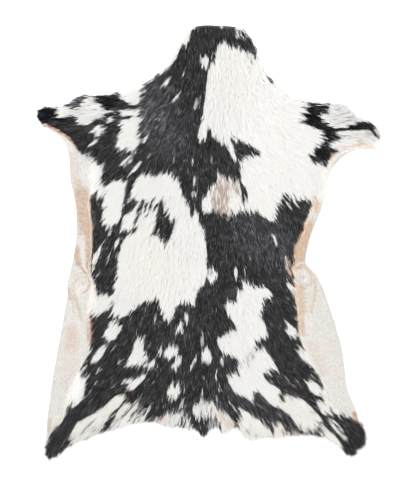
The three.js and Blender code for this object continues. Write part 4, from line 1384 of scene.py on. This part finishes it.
def growCoat():
    def wanted(x, y):
        onSkin = ground.read("onSkin", x, y) > hair["edgeGap"]
        return onSkin * softStep(ground.read("coat", x, y), *hair["thinning"])

    def guarded(key):  # how much guard hairs differ from the others
        return np.where(guard, hair["guard"][key], 1)

    # roots, locks and lengths
    x, y = scatter(hair["tries"], wanted)
    n = x.size
    lock, midX, midY, lockCount = locksOf(x, y, hair["lockStep"])
    lockTurn = dice.normal(0, math.radians(hair["lockTurn"]), lockCount)[lock]
    lockLight = dice.normal(0, 1, lockCount)[lock]
    tuft, _, _, tuftCount = locksOf(x, y, hair["glintStep"])
    glint = dice.normal(0, 1, tuftCount)[tuft]
    lockSlide = dice.normal(0, hair["lockSlide"], lockCount)[lock]
    lockRise = dice.uniform(*hair["lockRise"], lockCount)[lock]
    lockLong = dice.uniform(*hair["lockLength"], lockCount)[lock]
    guard = dice.random(n) < hair["guardShare"]
    turn = lockTurn + dice.normal(0, math.radians(hair["hairTurn"]), n) * guarded("turn")
    dirX, dirY = turned(lie.read("headX", x, y), lie.read("headY", x, y), turn)
    long = hair["flankLength"] + (1 - hair["flankLength"]) * ground.read("coat", x, y)
    length = hair["length"] * lockLong * dice.uniform(*hair["hairLength"], n) * long * guarded("length")

    # hair ends in wisps, a little past the hide's outline
    past = furthest(x, y)
    length *= 1 + hair["raggedLength"] * (past - hair["past"])
    wisp = softStep(comb.read("wisp", x + dirX * length, y + dirY * length), *hair["wispRange"])
    short = hair["gapEdge"] - hair["edgeBite"] * (past - hair["past"])
    past = -(short + (past - short) * np.clip(wisp + dice.normal(0, hair["edgeSoft"], n), 0, 1))
    for _ in range(hair["trims"]):
        out = ground.read("inside", x + dirX * length, y + dirY * length) < past
        length = np.where(out, length * hair["trim"], length)
    keep = ground.read("inside", x + dirX * length, y + dirY * length) > past - hair["edgeSlack"]

    # colour, carried along the lie of the hair in spikes
    combed = comb.read("comb", x + dirX * length * hair["reach"], y + dirY * length * hair["reach"])
    byFlank = np.exp(-((ground.read("flank", x, y) / hair["flankWidth"]) ** 2))
    slide = hair["slide"] * (1 + hair["flankSlide"] * byFlank)
    reach = hair["reach"] * length + slide * combed + lockSlide
    reach += dice.normal(0, hair["hairSlide"], n)
    reach += np.where(guard, dice.normal(0, hair["guardSlide"], n), 0)
    chance = evenly(combed + dice.normal(0, 0.5, n))
    spikeDye, hairDye = hair["dyeSpread"]
    taken = np.maximum(1 + spikeDye * combed + dice.normal(0, hairDye, n), 0)
    color, tone = coatColor(x + dirX * reach, y + dirY * reach, chance, taken)
    inCoat = (ground.read("flank", x, y) < -2) & (y > hair["cleanFrom"])
    strays = (tone == toneNames.index("pale")) & inCoat  # these keep the colour of their roots
    near = hair["cleanReach"] * length[strays]
    rootX, rootY = x[strays] + dirX[strays] * near, y[strays] + dirY[strays] * near
    color[strays], tone[strays] = coatColor(rootX, rootY, chance[strays], taken[strays])
    dark = tone == black
    spread = np.where(dark, hair["blackSpread"], hair["whiteSpread"])
    # brightness by lock and tuft: random tone, and on the black hair also painted glints and sheen
    light = np.exp(spread * (0.5 * lockLight + glint + 0.5 * dice.normal(0, 1, n)))
    low, high = hair["overFlank"]
    over = low + (high - low) * softStep(combed, -2, 2) + dice.normal(0, 0.5, n)
    for _ in range(hair["flankTrims"]):
        out = dark & (ground.read("flank", x + dirX * length, y + dirY * length) > over)
        length = np.where(out, length * hair["flankTrim"], length)

    # tips drawn together in locks and tufts
    tipX, tipY = x + dirX * length, y + dirY * length
    gather = dice.uniform(*hair["gather"], n) * guarded("gather")
    tipX, tipY = tipX + gather * (midX - x), tipY + gather * (midY - y)
    for placeX, placeY, size, endX, endY in hair["tufts"]:
        pull = hair["clump"] * np.exp(-((x - placeX) ** 2 + (y - placeY) ** 2) / size**2)
        tipX, tipY = tipX + pull * (endX - tipX), tipY + pull * (endY - tipY)
    bend = dice.normal(0, hair["bend"], n) * length
    halfX = x + (tipX - x) * hair["belly"] - dirY * bend
    halfY = y + (tipY - y) * hair["belly"] + dirX * bend
    base = skinTop(x, y)
    room = np.maximum(relief.read("top", tipX, tipY) - base, hair["leastRise"])
    depth = room * lockRise * guarded("rise")
    layer = dice.random(n)
    least, spread = hair["middleRise"]
    halfZ = base + depth * (least + spread * layer)
    least, spread = hair["tipRise"]
    tipZ = np.maximum(base + depth * (least + spread * layer), hair["leastTip"])
    strands = {
        "root": np.column_stack([x, y, base - hair["rootDepth"]]),
        "half": np.column_stack([halfX, halfY, halfZ]),
        "tip": np.column_stack([tipX, tipY, tipZ]),
        "side": np.column_stack([-dirY, dirX]),
        "width": hair["width"] * dice.uniform(*hair["hairWidth"], n) * guarded("width"),
        "color": np.clip(color * light[:, None], *hair["colorRange"]),
        "roll": dice.normal(0, math.radians(hair["roll"]), n),
    }
    strands = {key: value[keep] for key, value in strands.items()}
    return strands, dark[keep]


# Short ends of hair that stand out all along the edge of the long coat
fringe = {
    "spacing": 0.45,
    "length": (4, 7),
    "past": (-1.6, 1.6),  # how far the ends reach past the outline
    "width": 0.5,
    "spread": 0.35, "roll": 0.4,  # how much they turn and roll, in radians
    "comb": 0.9,  # how much the lie of the coat turns them, against straight outwards
    "wave": 1.3,  # how far the wisps move them in and out
    "ragged": 0.9,  # how much further they reach at the ragged places, against the coat's hairs
    "colorFrom": 3.5,  # how far inside the edge they take their colour
    "rootHeight": 0.55, "middleHeight": (0.7, 1.1),  # against the coat's height and the root's
    "tipHeight": (0.4, 2.4),
    "rootShade": 0.8,
}


def growFringe():
    ring = evenRing(rim, fringe["spacing"])
    normal = outward(softened(ring, 60))
    keep = ground.read("coat", *(ring - normal * 3).T) > 0.4
    ring, normal = ring[keep], normal[keep]
    headX, headY = lie.read("headX", *ring.T), lie.read("headY", *ring.T)
    leaving = normal[:, 0] * headX + normal[:, 1] * headY
    ring, normal, headX, headY, leaving = (v[leaving > -0.5] for v in (ring, normal, headX, headY, leaving))
    n = len(ring)
    dirX, dirY = normal[:, 0] + fringe["comb"] * headX, normal[:, 1] + fringe["comb"] * headY
    dirX, dirY = turned(dirX, dirY, dice.normal(0, fringe["spread"], n))
    size = np.hypot(dirX, dirY) + 1e-6
    dirX, dirY = dirX / size, dirY / size
    out = np.maximum(normal[:, 0] * dirX + normal[:, 1] * dirY, 0.15)
    ragged = (furthest(*ring.T) - hair["past"]) * dice.random(n) ** 2
    length = dice.uniform(*fringe["length"], n) + ragged
    beyond = dice.uniform(*fringe["past"], n) * np.clip(0.6 + 0.6 * leaving, 0.3, 1)
    beyond += fringe["wave"] * np.clip(comb.read("wisp", *ring.T), -2, 2) * (ring[:, 1] < neckCut)
    beyond += fringe["ragged"] * ragged
    back = length - beyond / out
    rootX, rootY = ring[:, 0] - dirX * back, ring[:, 1] - dirY * back
    tipX, tipY = rootX + dirX * length, rootY + dirY * length
    color, tone = coatColor(*(ring - normal * fringe["colorFrom"]).T, dice.random(n), np.ones(n))
    dark = tone == black
    spread = np.where(dark, hair["blackSpread"], hair["whiteSpread"])
    color = color * np.exp(spread * dice.normal(0, 1, n))[:, None]
    high = np.maximum(relief.read("top", rootX, rootY) * fringe["rootHeight"], 1)
    middle = high * dice.uniform(*fringe["middleHeight"], n)
    strands = {
        "root": np.column_stack([rootX, rootY, high]),
        "half": np.column_stack([(rootX + tipX) / 2, (rootY + tipY) / 2, middle]),
        "tip": np.column_stack([tipX, tipY, dice.uniform(*fringe["tipHeight"], n)]),
        "side": np.column_stack([-dirY, dirX]),
        "width": np.full(n, fringe["width"]),
        "color": np.clip(color, *hair["colorRange"]),
        "roll": dice.normal(0, fringe["roll"], n),
    }
    for shadeName, here, material in (("Dark", dark, darkMaterial), ("Light", ~dark, lightMaterial)):
        part = {key: value[here] for key, value in strands.items()}
        bladeMesh("hairFringe" + shadeName, part, material, fringe["rootShade"])


def bladeMesh(name, strands, material, rootShade):  # every hair is a slim kite of two triangles
    n = len(strands["root"])
    side = np.column_stack([strands["side"] * np.cos(strands["roll"])[:, None], np.sin(strands["roll"])])
    side *= strands["width"][:, None] / 2
    half = strands["half"]
    corners = np.stack([strands["root"], half + side, half - side, strands["tip"]], axis=1)
    corners[..., :2] += zero
    triangles = (np.arange(n)[:, None] * 4 + np.array([0, 2, 1, 1, 2, 3])).reshape(-1, 3)
    # painted shade along each hair: darker roots, slightly lighter tips
    shade = [rootShade, hair["middleShade"], hair["middleShade"], hair["tipShade"]]
    hairMesh(name, corners.reshape(-1, 3) * mm, triangles, strands["color"], 4,
             [(0.5, 0), (0, 0.5), (1, 0.5), (0.5, 1)], shade, material)


def hairMesh(name, place, triangles, color, perHair, chartSpots, shade, material):
    mesh = bpy.data.meshes.new(name)
    mesh.vertices.add(len(place))
    mesh.vertices.foreach_set("co", place.ravel())
    mesh.loops.add(triangles.size)
    mesh.loops.foreach_set("vertex_index", triangles.ravel())
    mesh.polygons.add(len(triangles))
    mesh.polygons.foreach_set("loop_start", np.arange(len(triangles)) * 3)
    mesh.polygons.foreach_set("loop_total", np.full(len(triangles), 3))
    mesh.update(calc_edges=True)
    n = len(color)
    tint = mesh.color_attributes.new("coat", "FLOAT_COLOR", "POINT")
    shaded = color[:, None, :] * np.array(shade)[None, :, None]
    tint.data.foreach_set("color", np.concatenate([shaded, np.ones((n, perHair, 1))], 2).ravel())
    across = math.ceil(math.sqrt(n))  # each hair has a cell of its own on the map
    cell = np.column_stack([np.arange(n) % across, np.arange(n) // across])[:, None, :]
    spots = (cell + 0.15 + 0.7 * np.array(chartSpots)[None]) / across
    uv = mesh.uv_layers.new(name="OFBake")
    uv.data.foreach_set("uv", spots.reshape(-1, 2)[triangles.ravel()].ravel())
    mesh.polygons.foreach_set("use_smooth", np.ones(len(triangles), bool))
    mesh.materials.append(material)
    piece = bpy.data.objects.new(name, mesh)
    bpy.context.collection.objects.link(piece)
    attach(piece, "root")
    print(name, len(triangles), "triangles")


streaks = {"scale": 260, "strength": 0.35, "color": (0.78, 0.78, 0.8, 1)}  # along every kind of hair


def hairMaterial(name, roughness, specular):
    shader = Shader(name)
    tint = shader.node("ShaderNodeAttribute", {"attribute_name": "coat"}, {})
    place = shader.node("ShaderNodeTexCoord", {}, {}, out="Object")
    streak = shader.node("ShaderNodeTexNoise", {}, {"Vector": place, "Scale": streaks["scale"], "Detail": 3})
    color = shader.blend("MULTIPLY", streak * streaks["strength"], tint, streaks["color"])
    return shader.finish({"Base Color": color, "Roughness": roughness, "Specular IOR Level": specular})


# The short down on the flanks
down = {
    "tries": 1320000,
    "edgeGap": 0.3,
    "thinning": (0.05, 0.6),
    "lockStep": 1.9,
    "length": (2.4, 4.6),
    "width": 0.65,
    "lockTurn": 0.12, "hairTurn": 0.08,  # radians
    "past": 0.4,  # how far it reaches past the outline
    "cutShort": 0.4,  # length left to hairs that would reach further
    "rootDepth": 0.1, "tilt": 0.3,
    "reach": 0.5, "slide": 0.5,  # where a hair takes its colour, and how much locks differ in that
    "dye": (0.35, 1.5),  # how much dye a lock takes up
    "lockLight": 0.07, "hairLight": 0.03,  # how much locks and single hairs differ in brightness
    "edgeShade": 0.18, "shadeWidth": 1.5,
    "colorRange": (0.01, 0.9),
    "rise": (0.3, 1.1),
    "shade": (0.95, 0.95, 1.02),  # of the two roots and the tip
}


def growDown():
    def wanted(x, y):
        onSkin = ground.read("onSkin", x, y) > down["edgeGap"]
        return onSkin * softStep(1 - ground.read("coat", x, y), *down["thinning"])

    x, y = scatter(down["tries"], wanted)
    n = x.size
    lock, _, _, lockCount = locksOf(x, y, down["lockStep"])
    turn = dice.normal(0, down["lockTurn"], lockCount)[lock] + dice.normal(0, down["hairTurn"], n)
    dirX, dirY = turned(lie.read("headX", x, y), lie.read("headY", x, y), turn)
    length = dice.uniform(*down["length"], n)
    out = ground.read("inside", x + dirX * length, y + dirY * length) < -down["past"]
    length = np.where(out, length * down["cutShort"], length)
    reach = length * down["reach"] + dice.normal(0, down["slide"], lockCount)[lock]
    taken = dice.uniform(*down["dye"], lockCount)[lock]
    color, _ = coatColor(x + dirX * reach, y + dirY * reach, dice.random(n), taken)
    light = 1 + down["lockLight"] * dice.normal(0, 1, lockCount)[lock]
    light += down["hairLight"] * dice.normal(0, 1, n)
    inside = np.maximum(ground.read("inside", x, y), 0)
    light *= 1 - down["edgeShade"] * np.exp(-inside / down["shadeWidth"])
    color = np.clip(color * paint["flankLight"] * light[:, None], *down["colorRange"])
    sideX, sideY = -dirY * down["width"] / 2, dirX * down["width"] / 2
    tilt = dice.normal(0, down["tilt"], n) * down["width"] / 2
    depth = down["rootDepth"]
    first = np.column_stack([x - sideX, y - sideY, skinTop(x - sideX, y - sideY) - depth - tilt])
    second = np.column_stack([x + sideX, y + sideY, skinTop(x + sideX, y + sideY) - depth + tilt])
    tipX, tipY = x + dirX * length, y + dirY * length
    tip = np.column_stack([tipX, tipY, skinTop(tipX, tipY) + dice.uniform(*down["rise"], n)])
    corners = np.stack([first, second, tip], axis=1)
    corners[..., :2] += zero
    left = x < 0
    for name, here in (("downLeft", left), ("downRight", ~left)):
        m = int(here.sum())
        hairMesh(name, corners[here].reshape(-1, 3) * mm, np.arange(m * 3).reshape(-1, 3), color[here], 3,
                 [(0.1, 0), (0.9, 0), (0.5, 1)], down["shade"], downMaterial)


darkMaterial = hairMaterial("blackHair", roughness=0.5, specular=0.06)
lightMaterial = hairMaterial("whiteHair", roughness=0.5, specular=0.4)
downMaterial = hairMaterial("flankDown", roughness=0.6, specular=0.35)

strands, dark = growCoat()
shades = [
    ("Black", dark, darkMaterial, hair["blackRootShade"]),
    ("White", ~dark, lightMaterial, hair["whiteRootShade"]),
]
for bandName, (low, high) in hair["bands"].items():
    inBand = (strands["root"][:, 1] > low) & (strands["root"][:, 1] <= high)
    for shadeName, here, material, rootShade in shades:
        part = {key: value[inBand & here] for key, value in strands.items()}
        bladeMesh(f"hair{shadeName}{bandName}", part, material, rootShade)
growFringe()
growDown()

abs(signedArea(edge)) * mm * mm


def makeFloor():
    half = studio["floorHalf"]
    corners = [(-half, -half, 0), (half, -half, 0), (half, half, 0), (-half, half, 0)]
    mesh = bpy.data.meshes.new("floor")
    mesh.from_pydata(corners, [], [(0, 1, 2, 3)])
    shader = Shader("paleFloor")
    place = shader.node("ShaderNodeTexCoord", {}, {}, out="Object")
    cloud = shader.node("ShaderNodeTexNoise", {},
                        {"Vector": place, "Scale": studio["cloudScale"], "Detail": 2})
    amount = cloud * studio["cloudShare"]
    color = shader.blend("MIX", amount, (*studio["floorColor"], 1), (*studio["floorClouds"], 1))
    mesh.materials.append(shader.finish({"Base Color": color, "Roughness": 0.8, "Specular IOR Level": 0.2}))
    floor = bpy.data.objects.new("floor", mesh)
    bpy.context.collection.objects.link(floor)


makeFloor()
